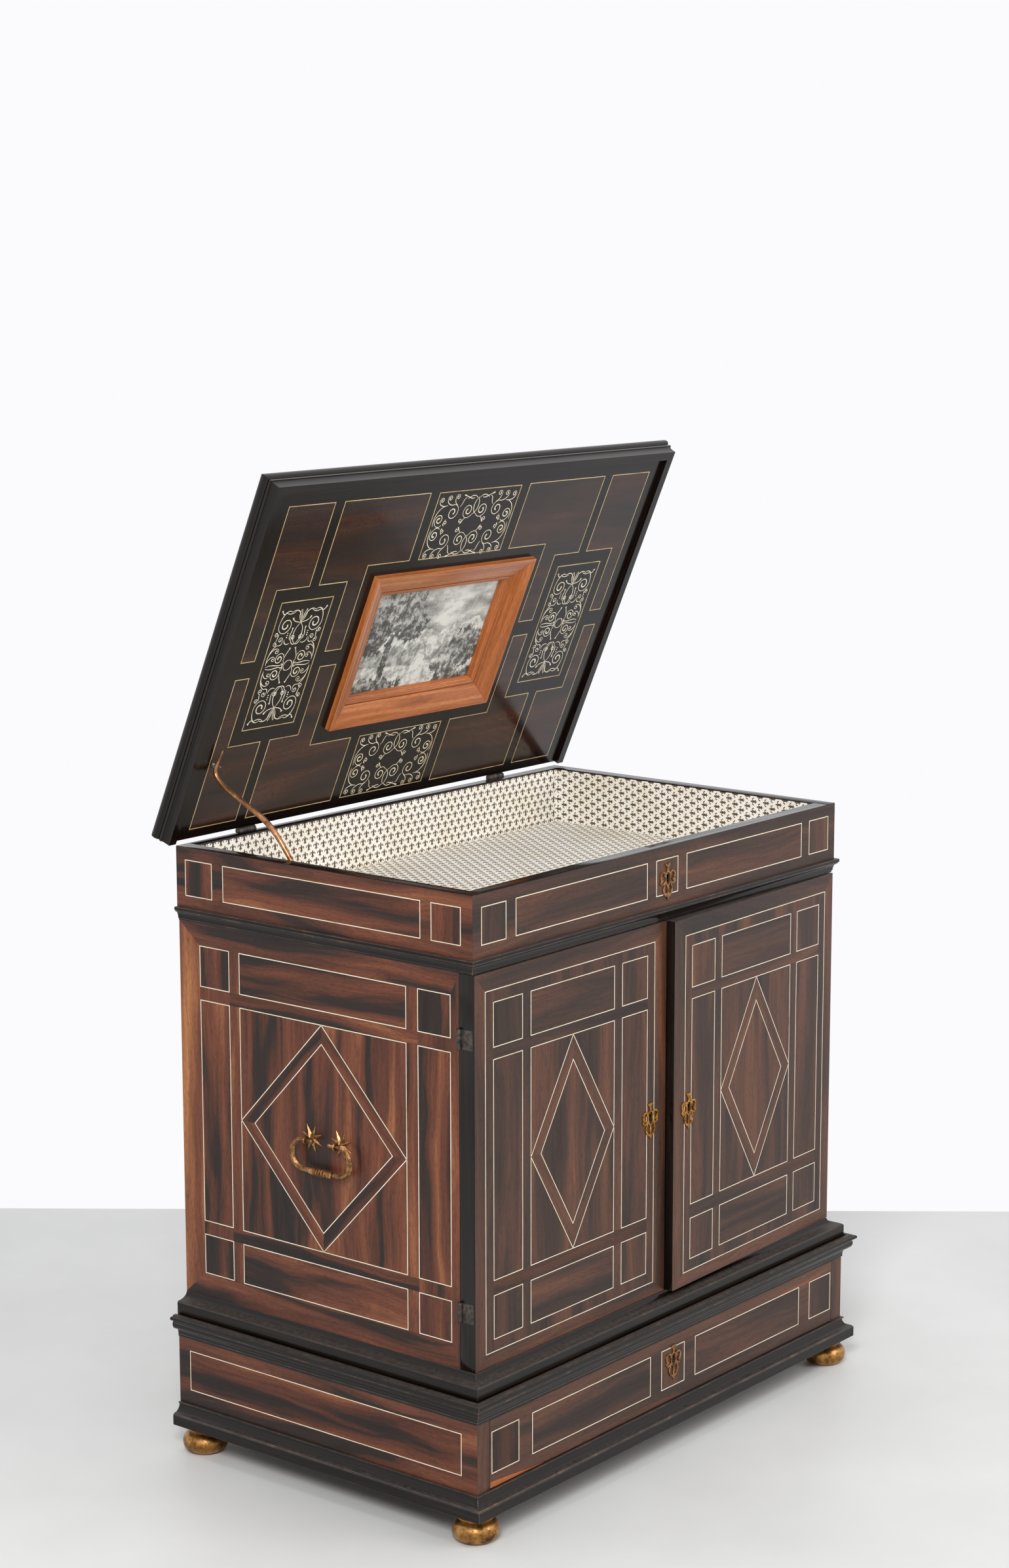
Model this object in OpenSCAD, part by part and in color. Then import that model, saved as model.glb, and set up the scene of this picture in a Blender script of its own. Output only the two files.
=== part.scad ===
/* [Feet] */
// Largest diameter of a bun foot
foot_d = 58; // [44:1:70]
// Height of a bun foot
foot_h = 32; // [26:1:40]
// Foot centre in from the plinth's side and front
foot_inset = 15; // [15:1:40]
// Foot centre in from the plinth's back
foot_back_inset = 29; // [29:1:60]

/* [Plinth] */
// Plinth side out from the tray side
plinth_out = 12.5; // [8:0.5:18]
// Plinth front out from the tray front
plinth_front_out = 15; // [10:0.5:22]
// Height of plinth that shows between its two mouldings
plinth_h = 87.5; // [70:0.5:120]
// Thickness of the plinth sides
plinth_side_t = 23; // [16:1:30]
// Thickness of the bottom board of the plinth
plinth_board_t = 18; // [12:1:24]
// Thickness of the plinth's back board
plinth_back_t = 18; // [10:1:24]

/* [Mouldings] */
// Height of the base moulding
base_h = 31; // [26:1:40]
// Projection of the base moulding
base_out = 14; // [10:0.5:20]
// Height of the plinth cornice
cornice_h = 28; // [22:1:34]
// Projection of the plinth cornice
cornice_out = 16.5; // [12:0.5:22]
// Height of the cap moulding under the doors
cap_h = 27.5; // [22:0.5:34]
// Projection of the cap moulding
cap_out = 17.5; // [12:0.5:22]
// Height of the waist moulding under the tray
waist_h = 18; // [14:1:24]
// Projection of the waist moulding
waist_out = 8.6; // [6:0.2:12]

/* [Case] */
// Case side in from the tray side
case_inset = 3; // [0:0.5:5]
// Height of the case that holds the coin drawers
case_h = 484; // [400:1:560]
// Thickness of the case sides
case_side_t = 18; // [15:1:24]
// Thickness of the case back
case_back_t = 12; // [8:1:18]

/* [Doors] */
// Thickness of a door
door_t = 23; // [18:1:28]
// Gap round each door and between the two doors
door_gap = 1; // [0.5:0.1:2]
// Gap between a shut door and the front edge of the case
door_seam = 0.5; // [0.4:0.1:1]
// Angle at which the right door stands ajar
door_ajar = 1.8; // [0:0.1:10]
// Keyhole in from the meeting edge of a door
door_lock_in = 33; // [28:1:60]

/* [Tray] */
// Width of the tray, outside
tray_w = 758; // [640:1:880]
// Depth of the tray, outside
tray_d = 478; // [420:1:560]
// Height of the tray above the waist moulding
tray_h = 77; // [65:1:100]
// Thickness of the tray's front and side walls
tray_wall_t = 20; // [19:1:24]
// Thickness of the tray's back wall
tray_back_t = 18; // [12:1:24]
// Thickness of the lining paper
paper_t = 0.6; // [0.3:0.1:1]

/* [Lid] */
// Angle of the open lid above its closed position
lid_open = 66.6; // [40:0.1:66.6]
// Thickness of the lid
lid_t = 24; // [20:1:30]
// Lid panel beyond the tray's front and sides
lid_over = 3; // [0:0.5:6]
// Projection of the flat lip of the lid moulding
lid_lip = 12; // [8:0.5:16]
// Drop of that lip below the lid's underside
lid_drop = 6; // [3:0.5:8]
// Projection of the bead above that lip
lid_bead = 17.5; // [14:0.5:22]
// Hinge axis behind the tray's back
lid_axis_out = 4.5; // [4.5:0.1:8]

/* [Picture frame] */
// Width of the frame inside the lid
frame_w = 316; // [240:1:360]
// Height of the frame inside the lid
frame_h = 220; // [180:1:260]
// Width of a frame member
frame_member = 45; // [36:1:56]
// Width of the part of a member that stands on the lid
frame_land = 31; // [22:1:34]
// Height of the outer ridge of the frame
frame_ridge = 8.7; // [6:0.1:12]
// Depth of the recess for the picture
picture_recess = 7.6; // [5:0.1:10]
// Thickness of the picture sheet
sheet_t = 0.6; // [0.3:0.1:1]

/* [Lid stay] */
// Stay pivot below the tray rim
stay_drop = 28; // [24:1:34]
// Stay pivot behind the middle of the tray
stay_back = 44; // [40:1:48]
// Stay eye along the lid, from the hinge axis
eye_along = 112; // [108:1:116]
// Stay eye out from the lid
eye_out = 6; // [5:0.5:7]
// Largest radius of the stay rod
stay_r = 3.7; // [3:0.1:4]
// Radius of the stay rod in the eye
stay_neck_r = 2.6; // [2:0.1:2.8]
// Radius of the stay's pivot pin
stay_pin_r = 2.4; // [2:0.1:3]

/* [Hinges] */
// Radius of a door hinge knuckle
door_knuckle_r = 3.4; // [3:0.1:4]
// Length of a door hinge
door_hinge_l = 24; // [20:1:40]
// Upper door hinge below the top of the case
door_hinge_top = 79; // [40:1:120]
// Lower door hinge above the bottom of the case
door_hinge_bottom = 72; // [40:1:120]
// Radius of a lid hinge knuckle
lid_knuckle_r = 4.2; // [3.5:0.1:4.2]
// Length of a lid hinge
lid_hinge_l = 30; // [24:1:50]
// Lid hinge out from the middle
lid_hinge_x = 250; // [150:1:300]
// Thickness of a hinge leaf
leaf_t = 1.2; // [0.8:0.1:1.6]
// Radius of a hinge pin
hinge_pin_r = 1.6; // [1.2:0.1:2]

/* [Handles] */
// Handle forward of the middle of the case side
handle_fwd = 5; // [0:1:20]
// Half the distance between the two eyes of a bail
bail_eye_x = 24; // [22:1:32]
// Half the width of a bail along its middle line
bail_half_w = 48; // [46:1:60]
// Drop of a bail below its pivot axis
bail_drop = 44; // [40:1:48]
// Distance of the bail's axis from the case side
bail_out = 11; // [11:0.5:15]
// Radius of a bail's pivot pin
bail_pin_r = 2.2; // [1.6:0.1:2.6]
// Radius of a star rosette
star_r = 19; // [12:0.5:20]
// Height of a star rosette
star_h = 4.5; // [3:0.1:5]

/* [Escutcheons] */
// Thickness of an escutcheon plate
esc_t = 1.6; // [1:0.1:2.5]
// Radius of the bow of a keyhole
key_r = 2.4; // [2:0.1:2.8]
// Width of a lock case
lock_w = 48; // [40:1:54]
// Height of a lock case
lock_h = 46; // [40:1:50]
// Thickness of a lock case
lock_t = 11; // [8:0.5:12]
// Keyhole of the tray above the waist moulding
tray_key_up = 35.5; // [30:0.5:44]
// Keyhole of a door above the bottom of the case
door_key_up = 236; // [200:1:280]
// Keyhole of the base drawer above the base moulding
drawer_key_up = 55; // [40:1:60]

/* [Base drawer] */
// Thickness of the base drawer's front
drawer_front_t = 20; // [16:1:26]
// Thickness of the base drawer's sides and back
drawer_wall_t = 10; // [8:1:14]
// Thickness of the base drawer's bottom
drawer_bottom_t = 6; // [4:0.5:10]

/* [Coin drawers] */
// Number of coin drawers, one above the other
coin_rows = 8; // [8:1:8]
// Coin drawer fronts behind the shut doors
coin_recess = 36; // [34:1:60]
// Thickness of the coin drawers' fronts
coin_front_t = 12; // [10:1:18]
// Thickness of the coin drawers' sides and backs
coin_wall_t = 9; // [6:1:12]
// Thickness of the coin drawers' bottoms
coin_bottom_t = 4; // [3:0.5:8]
// Height of a coin drawer runner
runner_h = 6; // [4:0.5:8]
// Width of a coin drawer runner
runner_w = 16; // [12:1:24]
// Length of a coin drawer knob
knob_l = 11; // [8:0.5:12]

/* [Fits] */
// Radial clearance of a pin in its bore
pin_fit = 0.05; // [0.02:0.01:0.1]
// Gap between parts that move past each other
run_gap = 0.3; // [0.2:0.05:0.5]
// Gap beside and above a drawer
drawer_gap = 0.75; // [0.5:0.05:1.5]
// Gap round a bail's pin in its eye
eye_gap = 0.3; // [0.2:0.05:0.5]
// Hairline gap in a mitred or glued joint
joint_gap = 0.05; // [0.02:0.01:0.2]

/* [Hidden] */
$fn = 48;
EPS = 0.01;

// Heights of the main joints, from the floor up
z_base = foot_h;
z_plinth = z_base + base_h;
z_cornice = z_plinth + plinth_h;
z_cap = z_cornice + cornice_h;
z_case = z_cap + cap_h;
z_waist = z_case + case_h;
z_tray = z_waist + waist_h;
z_rim = z_tray + tray_h;

// Outer faces of the tray, case and plinth
tray_x = tray_w / 2;
tray_y = tray_d / 2;
case_x = tray_x - case_inset;
plinth_x = tray_x + plinth_out;
plinth_y = -tray_y - plinth_front_out;
carcass_y = -tray_y + door_t + door_seam;
back_y = tray_y;

// Inner faces of the tray, case and plinth
tray_in_x = tray_x - tray_wall_t;
tray_in_front = -tray_y + tray_wall_t;
tray_in_back = tray_y - tray_back_t;
case_in_x = case_x - case_side_t;
case_in_back = back_y - case_back_t;
plinth_in_x = plinth_x - plinth_side_t;

// The open lid: its hinge axis, and the length and half width of its panel
lid_y = tray_y + lid_axis_out;
lid_len = tray_d + lid_axis_out + lid_over;
lid_x = tray_x + lid_over;
picture_y = -(lid_len + lid_axis_out) / 2;

// Door hinges
door_axis_x = case_x + 0.5;
door_axis_y = carcass_y - door_seam / 2;
door_hinge_z = [z_waist - door_hinge_top, z_case + door_hinge_bottom];
door_leaf_l = door_t - 3;
case_leaf_l = case_side_t - 4;
door_z0 = z_case + door_gap;
door_z1 = z_waist - door_gap;

// Locks and keyholes
tray_key_z = z_tray + tray_key_up;
door_key_z = z_case + door_key_up;
drawer_key_z = z_plinth + drawer_key_up;
lock_plate_t = 3;
hasp_x = 12;
hasp_half = 4;
hasp_deep = 9;

// Escutcheon outline: its line, keyhole ring and hole, finial, side scrolls, cup and tip
esc_line = 2.2;
ring_r = 5.4;
ring_half = 4;
hole_r = 3.4;
hole_half = 4.4;
finial_w = 9.2;
finial_top = 19;
scroll_at = [-9.6, 3];
scroll_r = 6.4;
scroll_ball_r = 1.9;
pin_lobe_r = 2.2;
cup_y = -14;
cup_r = 10;
tip_y = -24.6;
tip_r = 3.4;

// Handles
handle_y = -handle_fwd;
handle_z = (z_case + z_waist) / 2;
star_points = 8;
star_waist_r = 0.36 * star_r;
eye_wire_r = 1.5;
bail_upper_r = 0.45 * bail_drop;
bail_lower_r = 0.5 * bail_drop;
bail_lap = 1;
bail_ball_in = 9;
bail_ball_r = bail_pin_r + 1;
arm_half_w = 3.6;
arm_flat_w = 1.6;
arm_half_t = 2.4;
grip_half_l = 19;
grip_ribs = 9;
grip_core_r = 3.8;
rib_rise = 0.6;
rib_swell = 1;
rib_flat = 0.5;
rib_share = 0.42;

// Base drawer
drawer_z0 = z_plinth + door_gap;
drawer_z1 = z_cornice - door_gap;
drawer_x = plinth_in_x - drawer_gap;
drawer_wall_h = drawer_z1 - drawer_z0 - 15;
drawer_back = tray_y - plinth_back_t - 8;

// Coin drawers
coin_groove = 2;
coin_pitch = case_h / coin_rows;
coin_y = carcass_y + coin_recess;
coin_back = case_in_back - 6;
coin_x = case_in_x - drawer_gap;
knob_x = case_in_x / 2;

// Lid stay, in the vertical plane where it swings
stay_w = 5;
stay_x = -tray_in_x + paper_t + 5.9;
pivot = [stay_back, z_rim - stay_drop];
eye = lid_point(eye_along, eye_out);
tail = lid_point(eye_along + 24, eye_out + 3);
stay_hub_r = stay_pin_r + 4;

// A point at a distance along the open lid's underside and out from it, as [y, z]
function lid_point(along, out) = [
    lid_y - along * cos(lid_open) - out * sin(lid_open),
    z_rim + along * sin(lid_open) - out * cos(lid_open)
];

// Points on an elliptic arc
function bow(c, rx, ry, a0, a1, n = 8) =
    [for (i = [0:n]) let (a = a0 + (a1 - a0) * i / n) [c[0] + rx * cos(a), c[1] + ry * sin(a)]];

// A point on a cubic curve with four control points
function cubic(p, t) =
    p[0] * pow(1 - t, 3) + 3 * p[1] * t * pow(1 - t, 2) + 3 * p[2] * t * t * (1 - t) + p[3] * pow(t, 3);

// Moulding sections: first number outward from the carcass, second upward
base_face = base_h - 18;
base_section = concat(
    [[0, 0], [base_out, 0], [base_out, base_face], [base_out - 1.5, base_face]],
    bow([base_out - 1.5, base_h], base_out - 2.5, 14.5, -90, -180),
    [[0, base_h]]);

cornice_tip = cornice_h - 7.3;
cornice_section = concat(
    [[0, 0], [1.5, 0], [1.5, 2]],
    bow([7, 2], 5.5, cornice_tip - 12.7, 180, 90),
    bow([7.5, cornice_tip - 4.7], cornice_out - 12.5, 5.5, -90, 0),
    [[cornice_out - 3.5, cornice_tip - 4.7], [cornice_out - 3.5, cornice_tip - 2.2]],
    bow([cornice_out - 2.2, cornice_tip], 2.2, 2.2, -90, 90),
    [[2, cornice_h], [0, cornice_h]]);

cap_face = cap_h - 10.5;
cap_section = concat(
    [[0, 0], [cap_out, 0], [cap_out, cap_face], [cap_out - 1.2, cap_face + 0.6]],
    bow([cap_out - 1.2, cap_h], cap_out - 1.7, 9, -90, -180),
    [[0, cap_h]]);

waist_section = concat(
    [[0, 0], [1.2, 0], [1.2, 2.5]],
    bow([waist_out - 2.2, 2.5], waist_out - 4.4, waist_h - 9, 180, 90),
    [[waist_out - 1.6, waist_h - 6.5], [waist_out - 1.6, waist_h - 5]],
    bow([waist_out - 1.6, waist_h - 2.5], 1.6, 2.5, -90, 60),
    [[waist_out - 3.5, waist_h], [0, waist_h]]);

// Lid moulding, from the underside of its lip: lip, cove, fillet, quirk and bead
lid_edge = lid_t + lid_drop;
lid_bead_w = 4;
lid_bead_h = 13;
lid_quirk = 2;
lid_fillet_h = 3;
lid_fillet_out = 1.2;
lid_cove_h = lid_edge - lid_bead_h - lid_quirk - lid_fillet_h;
lid_cove_x = lid_lip + 2;
lid_section = concat(
    [[0, 0], [lid_lip, 0]],
    bow([lid_cove_x, 0], lid_cove_x - lid_lip, lid_cove_h, 180, 90),
    [[lid_cove_x + lid_fillet_out, lid_cove_h], [lid_cove_x + lid_fillet_out, lid_cove_h + lid_fillet_h],
     [lid_cove_x, lid_cove_h + lid_fillet_h], [lid_cove_x, lid_cove_h + lid_fillet_h + lid_quirk]],
    bow([lid_bead - lid_bead_w, lid_edge - lid_bead_h / 2], lid_bead_w, lid_bead_h / 2, -90, 90),
    [[0, lid_edge]]);

// Picture frame section: first number inward from the outer edge, second out from the lid
frame_section = concat(
    [[0, 0], [0, frame_ridge - 2.2]],
    bow([2.2, frame_ridge - 2.2], 2.2, 2.2, 180, 90, 5),
    [[frame_land, 1.5], [frame_land, 0.3]],
    bow([frame_member - 0.8, 0.3], frame_member - frame_land - 2, picture_recess - sheet_t - 1, 180, 270),
    [[frame_member, -picture_recess + sheet_t + 1.3], [frame_member, -picture_recess + sheet_t],
     [frame_land + run_gap, -picture_recess + sheet_t], [frame_land + run_gap, 0]]);

// A box between two corners
module box(lo, hi) {
    translate(lo) cube(hi - lo);
}

// Both sides of the cabinet
module both_sides() {
    children();
    mirror([1, 0, 0]) children();
}

// A moulding on the front and both sides of a board, in three strips mitred at the front corners.
// x is the board's half width, y its front, z its underside and back its back; out clears the whole section.
module three_strips(section, x, y, z, h, out, back = back_y) {
    side_l = back - y;
    end = x - joint_gap;
    translate([0, y, z]) intersection() {
        rotate([90, 0, -90]) linear_extrude(2 * (x + out), center = true) polygon(section);
        linear_extrude(h) polygon([[-end, 0], [end, 0], [end + out, -out], [-end - out, -out]]);
    }
    both_sides() translate([-x, y, z]) intersection() {
        translate([0, -out, 0]) rotate([90, 0, 180]) linear_extrude(side_l + out) polygon(section);
        linear_extrude(h) polygon([[0, side_l], [0, 0], [-out, -out], [-out, side_l]]);
    }
}

// Outline of an oval bar: two circles joined by a square
module oval(r, half) {
    translate([0, half]) circle(r);
    translate([0, -half]) circle(r);
    translate([-r, -half]) square([2 * r, 2 * half]);
}

// Outline of a C-scroll with a ball at its inner end, on the left of an escutcheon
module scroll() {
    mid_r = scroll_r - esc_line / 2;
    difference() {
        circle(scroll_r);
        circle(scroll_r - esc_line);
        translate([0, -scroll_r]) square([scroll_r + EPS, scroll_r + 0.5]);
    }
    translate([mid_r - scroll_ball_r, 1.5]) circle(scroll_ball_r);
    translate([-mid_r, -mid_r - 1.6]) square([esc_line, mid_r + 1.8]);
    translate([-mid_r + esc_line / 2, -mid_r - 2.4]) circle(pin_lobe_r);
}

// Outline of a pierced escutcheon, centred on its keyhole ring
module escutcheon_outline() {
    difference() {
        union() {
            oval(ring_r, ring_half);
            translate([-0.8 * esc_line, ring_half + ring_r - 1.4])
                square([1.6 * esc_line, finial_top - ring_half - ring_r]);
            translate([-finial_w / 2, finial_top - 2.6]) square([finial_w, 2.6]);
            translate([-finial_w * 0.35, finial_top - 4.4]) square([finial_w * 0.7, 2]);
            difference() {
                translate([0, cup_y]) circle(cup_r);
                translate([0, cup_y + 0.6]) circle(cup_r - esc_line);
                translate([-cup_r - 1, cup_y + 1.8]) square([2 * cup_r + 2, cup_r + 1]);
            }
            translate([-esc_line / 2, tip_y + 1.6]) square([esc_line, -tip_y - ring_half - ring_r]);
            translate([0, tip_y]) rotate(-90) circle(tip_r, $fn = 3);
            for (s = [-1, 1]) translate([s * 8, -10.6]) rotate(s * 24) square([esc_line, 8], center = true);
            for (s = [-1, 1]) translate([s * 9, -6.4]) rotate(s * 66) square([esc_line, 9], center = true);
            translate(scroll_at) scroll();
            mirror([1, 0]) translate(scroll_at) scroll();
        }
        oval(hole_r, hole_half);
    }
}

// Outline of a keyhole
module keyhole_outline() {
    translate([0, 2]) circle(key_r);
    translate([-key_r / 2, -5]) square([key_r, 7]);
}

// Turns an outline drawn upright to face the front, its thickness growing forward from y
module facing_front(x, y, z, t) {
    translate([x, y, z]) rotate([90, 0, 0]) linear_extrude(t) children();
}

module escutcheon(x, y, z) {
    facing_front(x, y, z, esc_t) escutcheon_outline();
}

// Keyhole through a board from its front face to its lock
module keyhole(x, y, z, depth) {
    facing_front(x, y + depth, z, depth + EPS) keyhole_outline();
}

// Lock case behind a board, with its bottom plate edge rounded by the key's post
module lock_case(x, y, z) {
    difference() {
        box([x - lock_w / 2, y, z - lock_h / 2], [x + lock_w / 2, y + lock_t, z + lock_h / 2]);
        keyhole(x, y - EPS, z, lock_t - lock_plate_t);
    }
}

// Poses of the moving groups in the photograph
module lid_pose() {
    translate([0, lid_y, z_rim]) rotate([-lid_open, 0, 0]) children();
}

module right_door_pose() {
    translate([door_axis_x, door_axis_y, 0]) rotate([0, 0, door_ajar])
        translate([-door_axis_x, -door_axis_y, 0]) children();
}

// A bun foot: flat on the floor, swelling to its full diameter, with a neck and a top collar
module bun_foot() {
    swell = foot_h * 0.42;
    rotate_extrude() {
        square([foot_d / 2 - swell, 2 * swell]);
        intersection() {
            translate([foot_d / 2 - swell, swell]) circle(swell);
            square([foot_d, foot_h]);
        }
        square([foot_d * 0.34, foot_h]);
        translate([0, foot_h - 3]) square([foot_d * 0.4, 3]);
    }
}

module bun_feet() {
    color("goldenrod") for (x = [-1, 1], y = [plinth_y + foot_inset, back_y - foot_back_inset])
        translate([x * (plinth_x - foot_inset), y, 0]) bun_foot();
}

module plinth_board() {
    color("sienna") box([-plinth_x, plinth_y, z_base], [plinth_x, back_y, z_base + plinth_board_t]);
}

module base_moulding() {
    color("black") three_strips(base_section, plinth_x, plinth_y, z_base, base_h, base_out + 1);
}

module plinth_side() {
    color("saddlebrown")
        box([-plinth_x, plinth_y, z_base + plinth_board_t], [-plinth_in_x, back_y, z_cornice]);
}

module plinth_left_side() {
    plinth_side();
}

module plinth_right_side() {
    mirror([1, 0, 0]) plinth_side();
}

module plinth_back() {
    color("sienna") box([-plinth_in_x, back_y - plinth_back_t, z_base + plinth_board_t],
        [plinth_in_x, back_y, z_cornice]);
}

// Runners that carry the base drawer on the bottom board
module drawer_runners() {
    color("sienna") both_sides() box([-plinth_in_x, plinth_y + drawer_front_t + 4, z_base + plinth_board_t],
        [-plinth_in_x + 40, back_y - plinth_back_t, drawer_z0]);
}

module plinth_top() {
    color("sienna") box([-plinth_x, plinth_y, z_cornice], [plinth_x, back_y, z_cap]);
}

module plinth_cornice() {
    color("black") three_strips(cornice_section, plinth_x, plinth_y, z_cornice, cornice_h, cornice_out + 1);
}

module case_bottom() {
    color("sienna") box([-case_x, -tray_y, z_cap], [case_x, back_y, z_case]);
}

module cap_moulding() {
    color("black") three_strips(cap_section, case_x, -tray_y, z_cap, cap_h, cap_out + 1);
}

// Room for the barrel of a door hinge
module door_hinge_notch() {
    for (z = door_hinge_z) translate([-door_axis_x, door_axis_y, z])
        cylinder(r = door_knuckle_r + run_gap, h = door_hinge_l + 2 * run_gap, center = true);
}

module case_side() {
    color("saddlebrown") difference() {
        box([-case_x, carcass_y, z_case], [-case_in_x, back_y, z_waist]);
        door_hinge_notch();
        for (z = door_hinge_z) box([-case_x - EPS, carcass_y - EPS, z - door_hinge_l / 2],
            [-case_x + case_leaf_l, carcass_y + leaf_t, z + door_hinge_l / 2]);
    }
}

module case_left_side() {
    case_side();
}

module case_right_side() {
    mirror([1, 0, 0]) case_side();
}

module case_back() {
    color("sienna") box([-case_in_x, case_in_back, z_case], [case_in_x, back_y, z_waist]);
}

module coin_drawer_runners() {
    color("sienna") both_sides() for (i = [0:coin_rows - 1])
        box([-case_in_x, coin_y + coin_front_t + 1, z_case + i * coin_pitch],
            [-case_in_x + runner_w, case_in_back, z_case + i * coin_pitch + runner_h]);
}

module tray_floor() {
    color("sienna") box([-case_x, -tray_y + case_inset, z_waist], [case_x, back_y, z_tray]);
}

module waist_moulding() {
    color("black")
        three_strips(waist_section, case_x, -tray_y + case_inset, z_waist, waist_h, waist_out + 1);
}

module tray_side_wall() {
    color("saddlebrown") box([-tray_x, -tray_y, z_tray], [-tray_in_x, tray_y, z_rim]);
}

module tray_left_wall() {
    tray_side_wall();
}

module tray_right_wall() {
    mirror([1, 0, 0]) tray_side_wall();
}

// Front wall, with a mortise from the inside and from the rim for the lock
module tray_front_wall() {
    color("saddlebrown") difference() {
        box([-tray_in_x, -tray_y, z_tray], [tray_in_x, tray_in_front, z_rim]);
        box([-lock_w / 2, tray_in_front - lock_t, tray_key_z - lock_h / 2],
            [lock_w / 2, tray_in_front + 1, z_rim + 1]);
        keyhole(0, -tray_y, tray_key_z, tray_wall_t - lock_t + EPS);
    }
}

module tray_back_wall() {
    color("saddlebrown") box([-tray_in_x, tray_in_back, z_tray], [tray_in_x, tray_y, z_rim]);
}

// Five sheets: floor, back, front and two sides
module lining_paper() {
    top = z_rim - 2;
    low = z_tray + paper_t;
    color("antiquewhite") {
        box([-tray_in_x, tray_in_front, z_tray], [tray_in_x, tray_in_back, low]);
        box([-tray_in_x, tray_in_back - paper_t, low], [tray_in_x, tray_in_back, top]);
        box([-tray_in_x, tray_in_front, low], [tray_in_x, tray_in_front + paper_t, top]);
        both_sides() box([-tray_in_x, tray_in_front + paper_t, low],
            [-tray_in_x + paper_t, tray_in_back - paper_t, top]);
    }
}

module tray_escutcheon() {
    color("goldenrod") escutcheon(0, -tray_y, tray_key_z);
}

// Lock let into the front wall, its top plate flush with the rim and slotted for the lid's two hasps
module tray_lock() {
    color("dimgray") difference() {
        box([-lock_w / 2, tray_in_front - lock_t, tray_key_z - lock_h / 2],
            [lock_w / 2, tray_in_front, z_rim]);
        keyhole(0, tray_in_front - lock_t - EPS, tray_key_z, lock_t - lock_plate_t);
        for (x = [-hasp_x, hasp_x])
            box([x - hasp_half, tray_in_front - lock_t + lock_plate_t, z_rim - hasp_deep],
                [x + hasp_half, tray_in_front - hasp_half, z_rim + 1]);
    }
}

// Upright knuckle of a door hinge between two heights, bored for the pin
module door_knuckle(z0, z1) {
    translate([-door_axis_x, door_axis_y, z0]) cylinder(r = door_knuckle_r, h = z1 - z0);
}

module door_pin_bore(z) {
    translate([-door_axis_x, door_axis_y, z])
        cylinder(r = hinge_pin_r + pin_fit, h = door_hinge_l + 1, center = true);
}

module door_knuckle_room(z0, z1) {
    translate([-door_axis_x, door_axis_y, z0]) cylinder(r = door_knuckle_r + run_gap, h = z1 - z0);
}

// Case leaf of a door hinge with the two outer knuckles
module door_case_leaf(z) {
    half = door_hinge_l / 2;
    mid = door_hinge_l / 6;
    difference() {
        union() {
            box([-case_x, carcass_y, z - half], [-case_x + case_leaf_l, carcass_y + leaf_t, z + half]);
            door_knuckle(z - half, z - mid);
            door_knuckle(z + mid, z + half);
        }
        door_knuckle_room(z - mid, z + mid);
        door_pin_bore(z);
    }
}

// Door leaf of a door hinge with the middle knuckle
module door_leaf(z) {
    half = door_hinge_l / 2;
    mid = door_hinge_l / 6 - run_gap;
    difference() {
        union() {
            difference() {
                box([-case_x, carcass_y - door_seam - door_leaf_l, z - half],
                    [-case_x + leaf_t, carcass_y - door_seam, z + half]);
                door_knuckle_room(z - half - 1, z - mid);
                door_knuckle_room(z + mid, z + half + 1);
            }
            door_knuckle(z - mid, z + mid);
        }
        door_pin_bore(z);
    }
}

// Knuckle of a lid hinge along the hinge axis, about the origin
module lid_knuckle(x0, x1, r) {
    translate([x0, 0, 0]) rotate([0, 90, 0]) cylinder(r = r, h = x1 - x0);
}

module lid_pin_bore() {
    lid_knuckle(-lid_hinge_l / 2 - 1, lid_hinge_l / 2 + 1, hinge_pin_r + pin_fit);
}

// Tray leaf of a lid hinge with the two outer knuckles, about its axis
module lid_tray_leaf() {
    half = lid_hinge_l / 2;
    mid = lid_hinge_l / 6;
    difference() {
        union() {
            box([-half, -lid_axis_out, -24], [half, -lid_axis_out + leaf_t, 0]);
            lid_knuckle(-half, -mid, lid_knuckle_r);
            lid_knuckle(mid, half, lid_knuckle_r);
        }
        lid_knuckle(-mid, mid, lid_knuckle_r + run_gap);
        lid_pin_bore();
    }
}

// Lid leaf of a lid hinge with the middle knuckle, about its axis with the lid shut
module lid_lid_leaf() {
    half = lid_hinge_l / 2;
    mid = lid_hinge_l / 6 - run_gap;
    difference() {
        union() {
            difference() {
                box([-half, -lid_axis_out, 0], [half, -lid_axis_out + leaf_t, lid_t - 4]);
                lid_knuckle(-half - 1, -mid, lid_knuckle_r + run_gap);
                lid_knuckle(mid, half + 1, lid_knuckle_r + run_gap);
            }
            lid_knuckle(-mid, mid, lid_knuckle_r);
        }
        lid_pin_bore();
    }
}

module fixed_hinge_leaves() {
    color("dimgray") {
        both_sides() for (z = door_hinge_z) door_case_leaf(z);
        for (x = [-lid_hinge_x, lid_hinge_x]) translate([x, lid_y, z_rim]) lid_tray_leaf();
    }
}

module hinge_pins() {
    color("dimgray") {
        both_sides() for (z = door_hinge_z) translate([-door_axis_x, door_axis_y, z])
            cylinder(r = hinge_pin_r, h = door_hinge_l, center = true);
        for (x = [-lid_hinge_x, lid_hinge_x]) translate([x, lid_y, z_rim])
            lid_knuckle(-lid_hinge_l / 2, lid_hinge_l / 2, hinge_pin_r);
    }
}

// Wall plate, pin and head that carry the lid stay
module stay_pivot() {
    wall = -tray_in_x + paper_t;
    color("dimgray") translate([wall, pivot[0], pivot[1]]) rotate([0, 90, 0]) {
        cylinder(r = stay_hub_r + 2, h = stay_x - wall - stay_w / 2 - run_gap);
        cylinder(r = stay_pin_r, h = stay_x - wall + stay_w / 2 + run_gap + 1.5);
        translate([0, 0, stay_x - wall + stay_w / 2 + run_gap]) cylinder(r = stay_pin_r + 1.8, h = 1.8);
    }
}

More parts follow.
